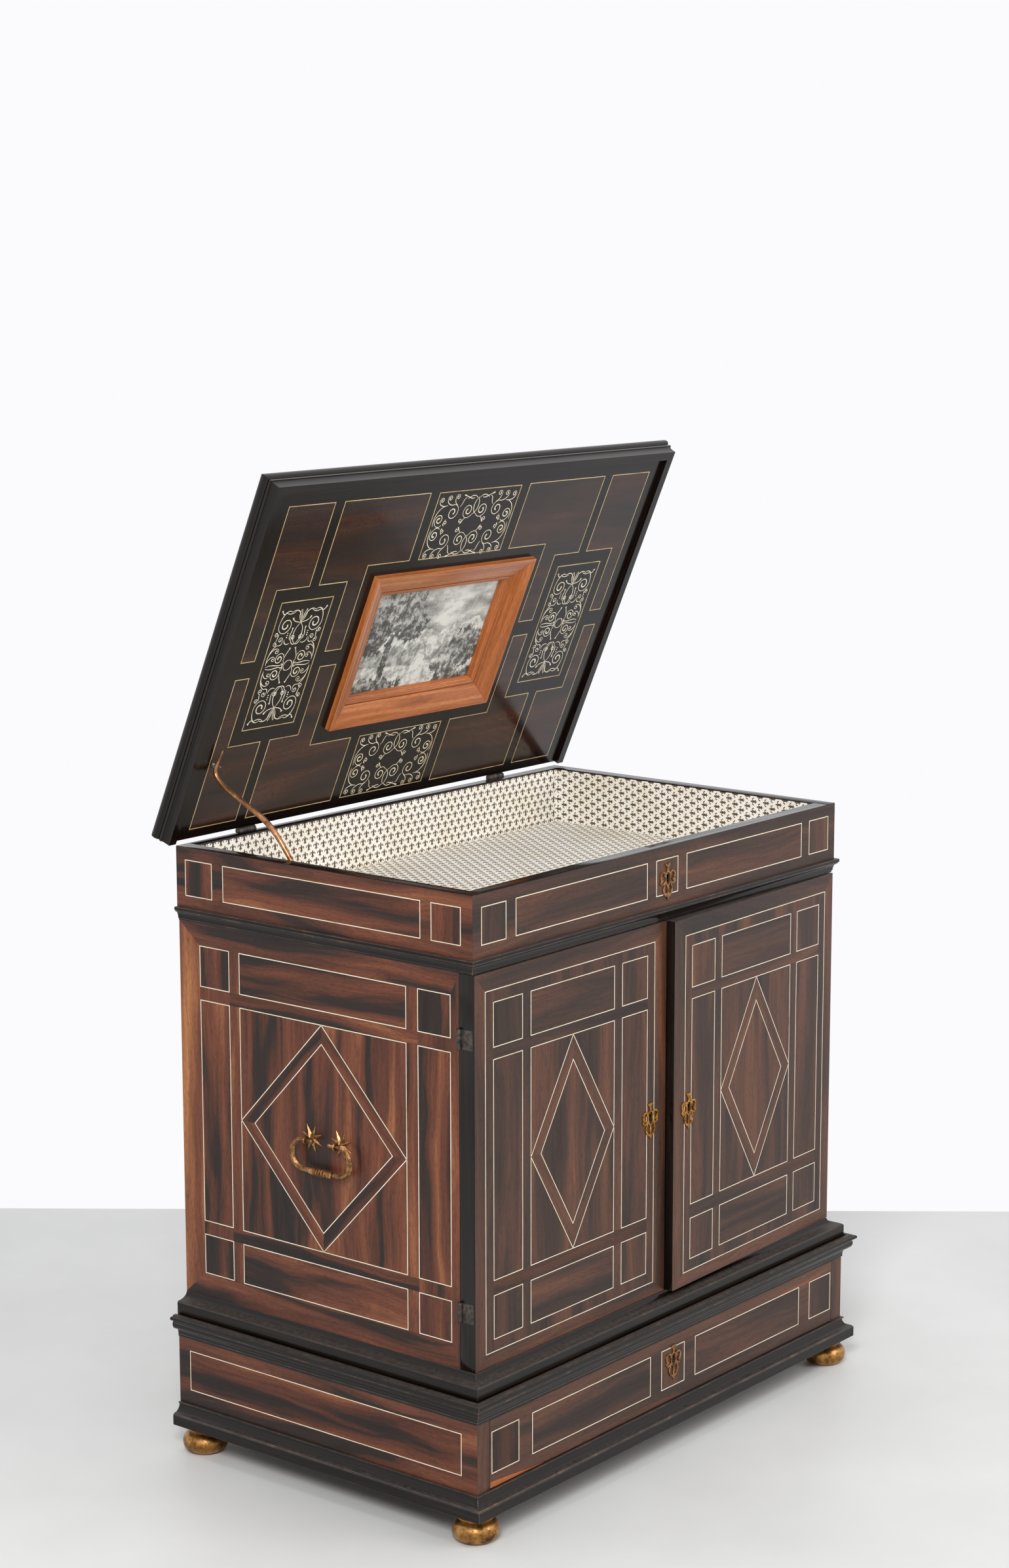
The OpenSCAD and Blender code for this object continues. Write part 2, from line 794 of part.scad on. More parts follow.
// Tapered S-shaped rod, swept along two joined cubic curves from its hub to the tip of its tail
module stay_sweep() {
    turn = pivot + [62, 66];
    lower = [pivot + [3.9, 2.6], pivot + [26, 22], pivot + [38, 48], turn];
    upper = [turn, turn + [34, 25], eye + (eye - tail) * 1.1, eye];
    end = [eye, eye + (tail - eye) * 0.35, tail + (eye - tail) * 0.4, tail];
    steps = 10;
    sides = 10;
    path = concat(
        [for (i = [0:steps - 1]) cubic(lower, i / steps)],
        [for (i = [0:steps - 1]) cubic(upper, i / steps)],
        [for (i = [0:4]) cubic(end, i / 4)]);
    last = len(path) - 1;
    function radius(i) = i <= steps ? 2.6 + (stay_r - 2.6) * i / steps
        : i <= 2 * steps ? stay_r + (stay_neck_r - stay_r) * (i - steps) / steps
        : stay_neck_r + (1 - stay_neck_r) * (i - 2 * steps) / 4;
    function along(i) = let (d = path[min(i + 1, last)] - path[max(i - 1, 0)]) d / norm(d);
    points = [for (i = [0:last], k = [0:sides - 1]) let (a = 360 * k / sides, d = along(i), r = radius(i))
        [r * cos(a), path[i][0] + d[1] * r * sin(a), path[i][1] - d[0] * r * sin(a)]];
    faces = concat(
        [[for (k = [0:sides - 1]) k]],
        [for (i = [0:last - 1], k = [0:sides - 1]) let (n = (k + 1) % sides)
            [i * sides + k, (i + 1) * sides + k, (i + 1) * sides + n, i * sides + n]],
        [[for (k = [sides - 1:-1:0]) last * sides + k]]);
    translate([stay_x, 0, 0]) polyhedron(points, faces);
}

module stay_rod() {
    color("peru") difference() {
        union() {
            stay_sweep();
            translate([stay_x, pivot[0], pivot[1]]) rotate([0, 90, 0])
                cylinder(r = stay_hub_r, h = stay_w, center = true);
        }
        translate([stay_x, pivot[0], pivot[1]]) rotate([0, 90, 0])
            cylinder(r = stay_pin_r + pin_fit, h = stay_w + 2, center = true);
    }
}

// Open iron eye on the lid: a plate with a prong on each side of the rod
module stay_eye() {
    prong = eye_out + 3.5;
    gap = stay_neck_r + 1;
    color("dimgray") lid_pose() translate([stay_x, -eye_along, 0]) {
        box([-gap - 1.6, -6, -1.2], [gap + 1.6, 6, 0]);
        for (x = [-gap - 0.8, gap + 0.8]) translate([x, 0, -prong]) cylinder(r = 0.8, h = prong);
    }
}

// Lid panel, drawn shut about the hinge axis, with the recess for the picture in its underside
module lid_panel() {
    half_w = frame_w / 2 - frame_land;
    half_h = frame_h / 2 - frame_land;
    color("saddlebrown") lid_pose() difference() {
        box([-lid_x, -lid_len, 0], [lid_x, -lid_axis_out, lid_t]);
        box([-half_w, picture_y - half_h, -1], [half_w, picture_y + half_h, picture_recess]);
    }
}

module lid_moulding() {
    color("black") lid_pose()
        three_strips(lid_section, lid_x, -lid_len, -lid_drop, lid_edge, lid_bead + 1, -lid_axis_out);
}

// One mitred member of the picture frame along the edge at -span, lying face up
module frame_member_strip(length, span) {
    m = frame_member;
    end = length / 2 - joint_gap;
    depth = picture_recess + 1;
    translate([0, -span / 2, 0]) intersection() {
        rotate([90, 0, 90]) linear_extrude(length, center = true) polygon(frame_section);
        translate([0, 0, -depth]) linear_extrude(depth + frame_ridge + 1)
            polygon([[-end, 0], [end, 0], [end - m, m], [-end + m, m]]);
    }
}

module picture_frame() {
    color("chocolate") lid_pose() translate([0, picture_y, 0]) rotate([180, 0, 0]) {
        for (a = [0, 180]) rotate(a) frame_member_strip(frame_w, frame_h);
        for (a = [90, 270]) rotate(a) frame_member_strip(frame_h, frame_w);
    }
}

module print_sheet() {
    half_w = frame_w / 2 - frame_land - run_gap;
    half_h = frame_h / 2 - frame_land - run_gap;
    color("lightgray") lid_pose() box([-half_w, picture_y - half_h, picture_recess - sheet_t],
        [half_w, picture_y + half_h, picture_recess]);
}

module lid_hinge_leaves() {
    color("dimgray") lid_pose() for (x = [-lid_hinge_x, lid_hinge_x]) translate([x, 0, 0]) lid_lid_leaf();
}

// A shut door on the left, with room for its hinges and its keyhole
module door() {
    color("saddlebrown") difference() {
        box([-case_x, -tray_y, door_z0], [-door_gap / 2, -tray_y + door_t, door_z1]);
        door_hinge_notch();
        for (z = door_hinge_z)
            box([-case_x - EPS, carcass_y - door_seam - door_leaf_l, z - door_hinge_l / 2],
                [-case_x + leaf_t, carcass_y, z + door_hinge_l / 2]);
        keyhole(-door_lock_in, -tray_y, door_key_z, door_t + 1);
    }
}

module door_escutcheon() {
    color("goldenrod") escutcheon(-door_lock_in, -tray_y, door_key_z);
}

module door_lock() {
    color("dimgray") lock_case(-door_lock_in, -tray_y + door_t, door_key_z);
}

module door_hinge_leaves() {
    color("dimgray") for (z = door_hinge_z) door_leaf(z);
}

// The right door's pieces are the left door's in a mirror, standing ajar
module on_right_door() {
    right_door_pose() mirror([1, 0, 0]) children();
}

module left_door() {
    door();
}

module left_door_escutcheon() {
    door_escutcheon();
}

module left_door_lock() {
    door_lock();
}

module left_door_hinge_leaves() {
    door_hinge_leaves();
}

module right_door() {
    on_right_door() door();
}

module right_door_escutcheon() {
    on_right_door() door_escutcheon();
}

module right_door_lock() {
    on_right_door() door_lock();
}

module right_door_hinge_leaves() {
    on_right_door() door_hinge_leaves();
}

module drawer_front() {
    color("saddlebrown") difference() {
        box([-drawer_x, plinth_y, drawer_z0], [drawer_x, plinth_y + drawer_front_t, drawer_z1]);
        keyhole(0, plinth_y, drawer_key_z, drawer_front_t + 1);
    }
}

// Two sides and a back
module drawer_box() {
    front = plinth_y + drawer_front_t;
    top = drawer_z0 + drawer_wall_h;
    inset = drawer_x - drawer_wall_t;
    color("burlywood") {
        both_sides() box([-drawer_x, front, drawer_z0], [-inset - joint_gap, drawer_back, top]);
        box([-inset, drawer_back - drawer_wall_t, drawer_z0], [inset, drawer_back, top]);
    }
}

module drawer_bottom() {
    inset = drawer_x - drawer_wall_t;
    color("burlywood") box([-inset, plinth_y + drawer_front_t, drawer_z0 + 2],
        [inset, drawer_back - drawer_wall_t, drawer_z0 + 2 + drawer_bottom_t]);
}

module drawer_escutcheon() {
    color("goldenrod") escutcheon(0, plinth_y, drawer_key_z);
}

module drawer_lock() {
    color("dimgray") lock_case(0, plinth_y + drawer_front_t, drawer_key_z);
}

// Brings a handle drawn flat, outward along z, to the left side of the case
module on_left_side() {
    translate([-case_x, handle_y, handle_z]) rotate([90, 0, -90]) children();
}

module star_outline() {
    polygon([for (i = [0:2 * star_points - 1])
        let (a = 180 * i / star_points + 90, r = i % 2 == 0 ? star_r : star_waist_r) r * [cos(a), sin(a)]]);
}

module star_rosettes() {
    color("goldenrod") both_sides() on_left_side() for (x = [-bail_eye_x, bail_eye_x])
        translate([x, 0, 0]) linear_extrude(star_h, scale = 0.25) star_outline();
}

// Eyes that hold the bails, each a ring on a shank that stands on its star
module bail_eyes() {
    ring = bail_pin_r + eye_gap + eye_wire_r;
    color("goldenrod") both_sides() on_left_side() for (x = [-bail_eye_x, bail_eye_x]) {
        translate([x, 0, bail_out]) rotate([0, 90, 0])
            rotate_extrude() translate([ring, 0]) circle(eye_wire_r);
        translate([x, 0, star_h]) cylinder(r = eye_wire_r, h = bail_out - star_h - ring);
    }
}

// Knife-edged section of a bail's arm
module bail_section() {
    polygon([[-arm_half_w, 0], [-arm_flat_w, arm_half_t], [arm_flat_w, arm_half_t],
        [arm_half_w, 0], [arm_flat_w, -arm_half_t], [-arm_flat_w, -arm_half_t]]);
}

// Half of a bail: ball end, pivot pin, upper bend, straight, lower bend and the run to the grip
module bail_half() {
    pin_start = bail_eye_x - bail_ball_in;
    upper_x = bail_half_w - bail_upper_r;
    lower_x = bail_half_w - bail_lower_r;
    translate([pin_start, 0, 0]) rotate([0, 90, 0]) rotate_extrude() {
        square([bail_pin_r, upper_x - pin_start + bail_lap]);
        circle_half(bail_ball_r);
    }
    translate([upper_x, -bail_upper_r, 0])
        rotate_extrude(angle = 90) translate([bail_upper_r, 0]) bail_section();
    translate([bail_half_w, bail_lower_r - bail_drop, 0]) rotate([-90, 0, 0])
        linear_extrude(bail_drop - bail_lower_r - bail_upper_r) bail_section();
    translate([lower_x, bail_lower_r - bail_drop, 0]) rotate([0, 0, -90])
        rotate_extrude(angle = 90) translate([bail_lower_r, 0]) bail_section();
    translate([grip_half_l - bail_lap, -bail_drop, 0]) rotate([90, 0, 90])
        linear_extrude(lower_x - grip_half_l + bail_lap) bail_section();
}

// Ribbed turned grip along the bottom of a bail
module bail_grip() {
    pitch = 2 * grip_half_l / grip_ribs;
    translate([-grip_half_l, -bail_drop, 0]) rotate([0, 90, 0]) rotate_extrude() {
        square([grip_core_r, 2 * grip_half_l]);
        for (i = [0:grip_ribs - 1])
            let (z = (i + 0.5) * pitch)
            let (r = grip_core_r + rib_rise + rib_swell * sin(180 * (i + 0.5) / grip_ribs))
            polygon([[0, z - pitch * rib_share], [grip_core_r, z - pitch * rib_share], [r, z - rib_flat],
                [r, z + rib_flat], [grip_core_r, z + pitch * rib_share], [0, z + pitch * rib_share]]);
    }
}

module bail() {
    color("goldenrod") on_left_side() translate([0, 0, bail_out]) {
        bail_grip();
        bail_half();
        mirror([1, 0, 0]) bail_half();
    }
}

module left_bail() {
    bail();
}

module right_bail() {
    mirror([1, 0, 0]) bail();
}

// A turned knob, standing forward from a drawer front
module knob() {
    rotate([90, 0, 0]) rotate_extrude() {
        square([3, knob_l - 3]);
        translate([0, knob_l - 4.5]) circle_half(4.5);
    }
}

// Right half of a circle, for turned ends
module circle_half(r) {
    intersection() {
        circle(r);
        translate([0, -r]) square([r, 2 * r]);
    }
}

// A coin drawer: front with two knobs, two sides, a back and a bottom
module coin_drawer(row) {
    z = z_case + row * coin_pitch;
    box_z = z + runner_h;
    top = z + coin_pitch - drawer_gap;
    wall_top = top - 6;
    front = coin_y + coin_front_t;
    behind = front + joint_gap;
    inset = coin_x - coin_wall_t;
    color("saddlebrown") {
        box([-coin_x, coin_y, z + drawer_gap], [coin_x, front, top]);
        both_sides() translate([-knob_x, coin_y - joint_gap, z + coin_pitch / 2]) knob();
    }
    color("burlywood") {
        both_sides() box([-coin_x, behind, box_z], [-inset - joint_gap, coin_back, wall_top]);
        box([-inset, coin_back - coin_wall_t, box_z], [inset, coin_back, wall_top]);
        box([-inset, behind, box_z + coin_groove],
            [inset, coin_back - coin_wall_t - joint_gap, box_z + coin_groove + coin_bottom_t]);
    }
}

module coin_drawer_1() { coin_drawer(0); }
module coin_drawer_2() { coin_drawer(1); }
module coin_drawer_3() { coin_drawer(2); }
module coin_drawer_4() { coin_drawer(3); }
module coin_drawer_5() { coin_drawer(4); }
module coin_drawer_6() { coin_drawer(5); }
module coin_drawer_7() { coin_drawer(6); }
module coin_drawer_8() { coin_drawer(7); }

bun_feet();
plinth_board();
base_moulding();
plinth_left_side();
plinth_right_side();
plinth_back();
drawer_runners();
plinth_top();
plinth_cornice();
case_bottom();
cap_moulding();
case_left_side();
case_right_side();
case_back();
coin_drawer_runners();
tray_floor();
waist_moulding();
tray_left_wall();
tray_right_wall();
tray_front_wall();
tray_back_wall();
lining_paper();
tray_escutcheon();
tray_lock();
fixed_hinge_leaves();
hinge_pins();
stay_pivot();
star_rosettes();
bail_eyes();
lid_panel();
lid_moulding();
picture_frame();
print_sheet();
lid_hinge_leaves();
stay_eye();
stay_rod();
left_door();
left_door_escutcheon();
left_door_lock();
left_door_hinge_leaves();
right_door();
right_door_escutcheon();
right_door_lock();
right_door_hinge_leaves();
drawer_front();
drawer_box();
drawer_bottom();
drawer_escutcheon();
drawer_lock();
left_bail();
right_bail();
coin_drawer_1();
coin_drawer_2();
coin_drawer_3();
coin_drawer_4();
coin_drawer_5();
coin_drawer_6();
coin_drawer_7();
coin_drawer_8();
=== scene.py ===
import bmesh
import bpy
import math
import random
from mathutils import Matrix, Vector


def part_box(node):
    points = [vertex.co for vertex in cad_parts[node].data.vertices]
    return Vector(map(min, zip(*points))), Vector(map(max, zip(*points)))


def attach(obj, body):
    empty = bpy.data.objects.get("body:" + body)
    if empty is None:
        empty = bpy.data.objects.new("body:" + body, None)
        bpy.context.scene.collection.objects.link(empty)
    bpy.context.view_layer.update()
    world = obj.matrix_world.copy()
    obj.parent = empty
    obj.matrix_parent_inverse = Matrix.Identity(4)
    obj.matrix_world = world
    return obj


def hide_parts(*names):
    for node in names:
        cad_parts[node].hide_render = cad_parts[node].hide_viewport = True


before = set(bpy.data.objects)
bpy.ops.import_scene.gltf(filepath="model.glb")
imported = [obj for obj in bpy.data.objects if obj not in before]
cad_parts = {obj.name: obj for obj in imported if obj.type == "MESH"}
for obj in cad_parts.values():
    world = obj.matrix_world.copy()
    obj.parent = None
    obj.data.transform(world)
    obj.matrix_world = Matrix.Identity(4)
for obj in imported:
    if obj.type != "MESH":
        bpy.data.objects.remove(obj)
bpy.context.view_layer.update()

# Bun feet
# Four feet turned in wood, gessoed, and gilded with leaf over brown clay; the leaf is rubbed on the swell.
# Each is glued by its collar under a corner of the plinth.
MM = 0.001
WELD = 0.001


def linear(code):
    """Linear colour of an sRGB hex value."""
    parts = [int(code[i:i + 2], 16) / 255 for i in (1, 3, 5)]
    return [c / 12.92 if c <= 0.04045 else ((c + 0.055) / 1.055) ** 2.4 for c in parts] + [1.0]


def feed(tree, node, inputs):
    """Inputs of a shader node, set to values or linked from other sockets."""
    for key, value in inputs.items():
        if isinstance(value, bpy.types.NodeSocket):
            tree.links.new(value, node.inputs[key])
        else:
            node.inputs[key].default_value = value


def add(tree, kind, settings=None, inputs=None, out=0):
    """One shader node with its settings and inputs; returns one of its outputs."""
    made = tree.nodes.new("ShaderNode" + kind)
    for key, value in (settings or {}).items():
        if key == "stops":
            while len(made.color_ramp.elements) < len(value):
                made.color_ramp.elements.new(0.5)
            for stop, (place, code) in zip(made.color_ramp.elements, value):
                stop.position = place
                stop.color = linear(code)
        else:
            setattr(made, key, value)
    feed(tree, made, inputs or {})
    return made.outputs[out]


def tint(tree, value, stops):
    """Colours laid along a value; a stop is a place and an sRGB hex value."""
    return add(tree, "ValToRGB", {"stops": stops}, {0: value})


def remap(tree, value, low, high, to_low, to_high):
    """A value taken from one range to another and held within it."""
    return add(tree, "MapRange", None, {0: value, 1: low, 2: high, 3: to_low, 4: to_high})


def speckle(tree, size, detail, rough=0.5):
    """Noise through the solid, with patches of a size in metres."""
    at = add(tree, "TexCoord", out="Object")
    return add(tree, "TexNoise", None,
               {"Vector": at, "Scale": 1 / size, "Detail": detail, "Roughness": rough})


def finish(name):
    """A new material and its node tree."""
    made = bpy.data.materials.new(name)
    made.use_nodes = True
    return made, made.node_tree


def surface(made, colour, rough, metal=0.0, shine=0.5, bump=None):
    """Looks of a material. A bump is its strength, its depth in metres and its height."""
    tree = made.node_tree
    looks = {"Base Color": colour, "Roughness": rough, "Metallic": metal, "Specular IOR Level": shine}
    if bump:
        looks["Normal"] = add(tree, "Bump", None, dict(zip(("Strength", "Distance", "Height"), bump)))
    feed(tree, tree.nodes["Principled BSDF"], looks)


def mottled(name, size, detail, rough, stops, gloss, metal=0.0, shine=0.5, bump=None):
    """A material mottled by one noise; its roughness is one value, or a range that follows the noise."""
    made, tree = finish(name)
    patch = speckle(tree, size, detail, rough)
    polish = remap(tree, patch, *gloss) if isinstance(gloss, tuple) else gloss
    surface(made, tint(tree, patch, stops), polish, metal, shine, bump and (*bump, patch))
    return made


def piece(bm, name, body, slot, *finishes, sharp=35, place=Matrix.Identity(4)):
    """A finished object from a mesh put in its place, smooth but for its arrises, riding on a body."""
    bmesh.ops.transform(bm, matrix=place, verts=bm.verts[:])
    bmesh.ops.recalc_face_normals(bm, faces=bm.faces[:])
    for edge in bm.edges:
        edge.smooth = len(edge.link_faces) == 2 and edge.calc_face_angle(0) < math.radians(sharp)
    for face in bm.faces:
        face.smooth = True
    mesh = bpy.data.meshes.new(name)
    bm.to_mesh(mesh)
    bm.free()
    for look in finishes:
        mesh.materials.append(look)
    obj = bpy.data.objects.new(name, mesh)
    bpy.context.scene.collection.objects.link(obj)
    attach(obj, body)
    return obj


def bow(cx, cy, rx, ry, a0, a1, n=14):
    """Points on an elliptic arc."""
    turn = [math.radians(a0 + (a1 - a0) * i / n) for i in range(n + 1)]
    return [(cx + rx * math.cos(a), cy + ry * math.sin(a)) for a in turn]


def lathe(bm, outline, axis, steps, closed=False):
    """A surface turned from an outline round an axis through the origin; returns its vertices."""
    before = set(bm.verts)
    dots = [bm.verts.new(dot) for dot in outline]
    following = dots[1:] + dots[:1] if closed else dots[1:]
    line = [bm.edges.new(pair) for pair in zip(dots, following)]
    bmesh.ops.spin(bm, geom=dots + line, cent=(0, 0, 0), axis=axis, angle=math.tau, steps=steps,
                   use_merge=True)
    return [v for v in bm.verts if v not in before]


# Water gilding: a soft burnished gold, with the brown clay showing where the leaf has rubbed through.
gilding = mottled("gilding", 0.016, 7.0, 0.7,
                  [(0.36, "#442a18"), (0.46, "#81592d"), (0.56, "#a87c45"), (0.75, "#c8a066")],
                  (0.35, 0.7, 0.5, 0.24), 0.88, bump=(0.25, 0.0006))

foot_lo, foot_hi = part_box("bun_feet")
foot_r, foot_h, swell = 29.0, 32.0, 13.44
foot_outline = [(0, 0), (foot_r - swell - 2, 0)] + bow(foot_r - swell, swell, swell, swell, -80, 64, 18)
foot_outline += [(19.6, 26.6), (19.9, 28.2), (21.9, 28.8), (22.9, 29.8), (22.9, 31.2), (22.2, foot_h),
                 (0, foot_h)]
bm = bmesh.new()
for x in (foot_lo.x / MM + foot_r, foot_hi.x / MM - foot_r):
    for y in (foot_lo.y / MM + foot_r, foot_hi.y / MM - foot_r):
        foot = lathe(bm, [(r, 0, z) for r, z in foot_outline], (0, 0, 1), 72)
        bmesh.ops.translate(bm, verts=foot, vec=(x, y, 0))
bmesh.ops.remove_doubles(bm, verts=bm.verts[:], dist=WELD)
feet = piece(bm, "gilt_feet", "cabinet", "gilt_brass", gilding, place=Matrix.Scale(MM, 4))
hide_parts("bun_feet")

# Carcass boards
# The boards inside the cabinet and across its back: softwood, planed, stained brown and never polished.
# They are rebated and glued together, and carry the veneers and mouldings.
SEAM = 0.005 * MM
ARRIS = math.radians(40)


def lay_grain(bm, fixed=None):
    """Grain along the longest edge of each face, or along a fixed direction, as a map in metres."""
    grain = bm.loops.layers.uv.get("grain") or bm.loops.layers.uv.new("grain")
    for face in bm.faces:
        longest = max(face.edges, key=lambda e: e.calc_length())
        along = (longest.verts[1].co - longest.verts[0].co).normalized()
        if fixed and abs(face.normal.dot(Vector(fixed))) < 0.5:
            along = Vector(fixed)
        across = face.normal.cross(along)
        for corner in face.loops:
            corner[grain].uv = (corner.vert.co.dot(along), corner.vert.co.dot(across))


def eased(node, body, slot, ease, *finishes, choose=None, reshape=None, fixed=None):
    """A copy of a solid with its arrises eased by some millimetres, standing for the solid."""
    bm = bmesh.new()
    bm.from_mesh(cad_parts[node].data)
    bmesh.ops.remove_doubles(bm, verts=bm.verts[:], dist=SEAM)
    if reshape:
        for v in bm.verts:
            v.co = reshape(v.co)
    bmesh.ops.dissolve_limit(bm, angle_limit=math.radians(1), verts=bm.verts[:], edges=bm.edges[:])
    if ease:
        arrises = [e for e in bm.edges if len(e.link_faces) == 2 and e.calc_face_angle(0) > ARRIS]
        bmesh.ops.bevel(bm, geom=arrises, offset=ease * MM, segments=2, profile=0.5, affect="EDGES",
                        material=-1, clamp_overlap=True)
    bm.normal_update()
    lay_grain(bm, fixed)
    if choose:
        for face in bm.faces:
            face.material_index = choose(face.calc_center_median() / MM)
    obj = piece(bm, "finished_" + node, body, slot, *finishes)
    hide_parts(node)
    return obj


def mapped(tree, name):
    """Place on a named map of the mesh."""
    return add(tree, "UVMap", {"uv_map": name})


def streaks(tree, where, along, across, detail, rough=0.5, bend=0.0):
    """Noise in the plane of a map, drawn out to one length along it and another across."""
    drawn = add(tree, "Mapping", None, {"Vector": where, "Scale": (1 / along, 1 / across, 1.0)})
    return add(tree, "TexNoise", {"noise_dimensions": "2D"},
               {"Vector": drawn, "Scale": 1.0, "Detail": detail, "Roughness": rough, "Distortion": bend})


def mixed(tree, share, one, other, blend="MIX"):
    """Two colours mixed by a share of the second."""
    return add(tree, "Mix", {"data_type": "RGBA", "blend_type": blend}, {0: share, 6: one, 7: other}, 2)


def board_wood(name, dark, mid, light, rough, shine=0.3):
    """Plain sawn wood with growth rings about 4 mm apart and fine fibres, on the grain map."""
    made, tree = finish(name)
    uv = mapped(tree, "grain")
    ring = streaks(tree, uv, 0.22, 0.009, 4.0, 0.6, 0.5)
    fibre = streaks(tree, uv, 0.012, 0.0007, 2.0)
    colour = tint(tree, ring, [(0.32, dark), (0.5, mid), (0.7, light)])
    shade = remap(tree, fibre, 0.3, 0.6, 0.72, 1.05)
    surface(made, mixed(tree, 1.0, colour, shade, "MULTIPLY"), rough, 0.0, shine, (0.3, 0.0004, fibre))
    return made


# Stained pine: a brown water stain on planed softwood, dull.
stained_pine = board_wood("stained_pine", "#2c1c12", "#4a3120", "#5f4029", 0.7)
for node in ("plinth_board", "plinth_back", "plinth_top", "drawer_runners", "case_bottom", "case_back",
             "coin_drawer_runners", "tray_floor"):
    eased(node, "cabinet", "carcass_wood", 0.4, stained_pine)

# Base moulding
# Three mitred strips of pear wood, planed to a flat fascia, a cove and a lip, stained black and waxed.
# They are glued round the foot of the plinth; their arrises are worn brown and lightened by a painted
# highlight, and the grey on their tops is dust and a painted highlight.


def maths(tree, operation, *values):
    """Result of one arithmetic node on values or sockets."""
    return add(tree, "Math", {"operation": operation}, dict(enumerate(values)))


# Ebonised pear wood: black stain under wax, with faint streaks along the strip.
# Grey on faces that look up, as high as the waist, is partly dust and partly a painted highlight, such as
# the light line along the top of the waist.
ebonised, tree = finish("ebonised_pear")
run = streaks(tree, mapped(tree, "grain"), 0.16, 0.0035, 5.0, 0.6)
black = tint(tree, run, [(0.3, "#0a0705"), (0.55, "#150e0a"), (0.75, "#241812")])
lie = add(tree, "SeparateXYZ", None, {0: add(tree, "NewGeometry", out="Normal")}, 2)
level = remap(tree, lie, 0.8, 0.99, 0.0, 1.0)
height = add(tree, "SeparateXYZ", None, {0: add(tree, "TexCoord", out="Object")}, 2)
# Mask of upward faces below 0.72 m: dust, and a painted highlight on ledges such as the waist's top.
settled_and_highlit = maths(tree, "MULTIPLY", level, maths(tree, "LESS_THAN", height, 0.72))
grit = remap(tree, speckle(tree, 0.006, 8.0, 0.75), 0.36, 0.66, 0.25, 0.8)
dust_and_highlight = maths(tree, "MULTIPLY", settled_and_highlit, grit)
dusty_and_highlit = mixed(tree, dust_and_highlight, black, linear("#4f4843"))
surface(ebonised, dusty_and_highlit, remap(tree, dust_and_highlight, 0.0, 0.5, 0.15, 0.6), 0.0, 0.3, (0.15, 0.0004, run))

# Worn arris: the same black stain rubbed through in short runs to brown pear wood, lightened also as a
# painted highlight along the arris.
worn_and_highlit = mottled("worn_and_highlit_arris", 0.03, 6.0, 0.7,
               [(0.42, "#2a2624"), (0.56, "#453a33"), (0.72, "#7d5a3e")], 0.22)


def soften(obj, name, width, look=-1):
    """Rounds the arrises of an object by some millimetres, in its own finish or another of its finishes."""
    ease = obj.modifiers.new(name, "BEVEL")
    ease.width = width * MM
    ease.segments = 2
    ease.limit_method = "ANGLE"
    ease.angle_limit = ARRIS
    ease.material = look
    ease.harden_normals = True


def strip_moulding(name, node, section, half, front, low, back, body, place=Matrix.Scale(MM, 4)):
    """A section run along the left, front and right of a board, mitred at the front corners."""
    bm = bmesh.new()
    ring = bm.faces.new([bm.verts.new((-half - out, back, low + up)) for out, up in section])
    edges = ring.edges[:]
    turns = (lambda p: Vector((p.x, front + p.x + half, p.z)), lambda p: Vector((-p.x, p.y, p.z)),
             lambda p: Vector((p.x, back, p.z)))
    for turn in turns:
        run_on = bmesh.ops.extrude_edge_only(bm, edges=edges)["geom"]
        moved = {g for g in run_on if isinstance(g, bmesh.types.BMVert)}
        for v in moved:
            v.co = turn(v.co)
        edges = [g for g in run_on if isinstance(g, bmesh.types.BMEdge) and set(g.verts) <= moved]
    bmesh.ops.edgeloop_fill(bm, edges=edges)
    bmesh.ops.transform(bm, matrix=place, verts=bm.verts[:])
    bm.normal_update()
    lay_grain(bm)
    obj = piece(bm, name, body, "ebonised_wood", ebonised, worn_and_highlit, sharp=25)
    # The rounded arrises take the worn finish, which also paints a highlight along them.
    soften(obj, "worn_and_highlit_bevel", 0.8, 1)
    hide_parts(node)
    return obj


plinth_x, plinth_front, back_y = 391.5, -254.0, 239.0
base_section = ([(0, 3), (14, 3), (14, 16.4), (12.6, 17.2)] + bow(12.6, 29.2, 10.4, 11, -90, -180)
                + [(4, 29.2), (4, 31), (0, 31)])
strip_moulding("base_strips", "base_moulding", base_section, plinth_x, plinth_front, foot_h, back_y,
               "cabinet")

# Plinth sides
# Two boards veneered with rosewood on the outside and on their front ends, and inlaid with one ivory line.
# The veneer is sawn thin and glued down; the line is let into it and scraped almost flush.
rng = random.Random(1650)
both_sides = ((-1, "left"), (1, "right"))


def rect(u0, v0, u1, v1):
    """Outline of a rectangle."""
    return [(u0, v0), (u1, v0), (u1, v1), (u0, v1)]


def face_place(origin, along, up, out):
    """Matrix that takes millimetres along, up and out of a flat face to metres in the frame."""
    turned = Matrix((along, up, out)).transposed().to_4x4()
    return Matrix.Scale(MM, 4) @ Matrix.Translation(origin) @ turned


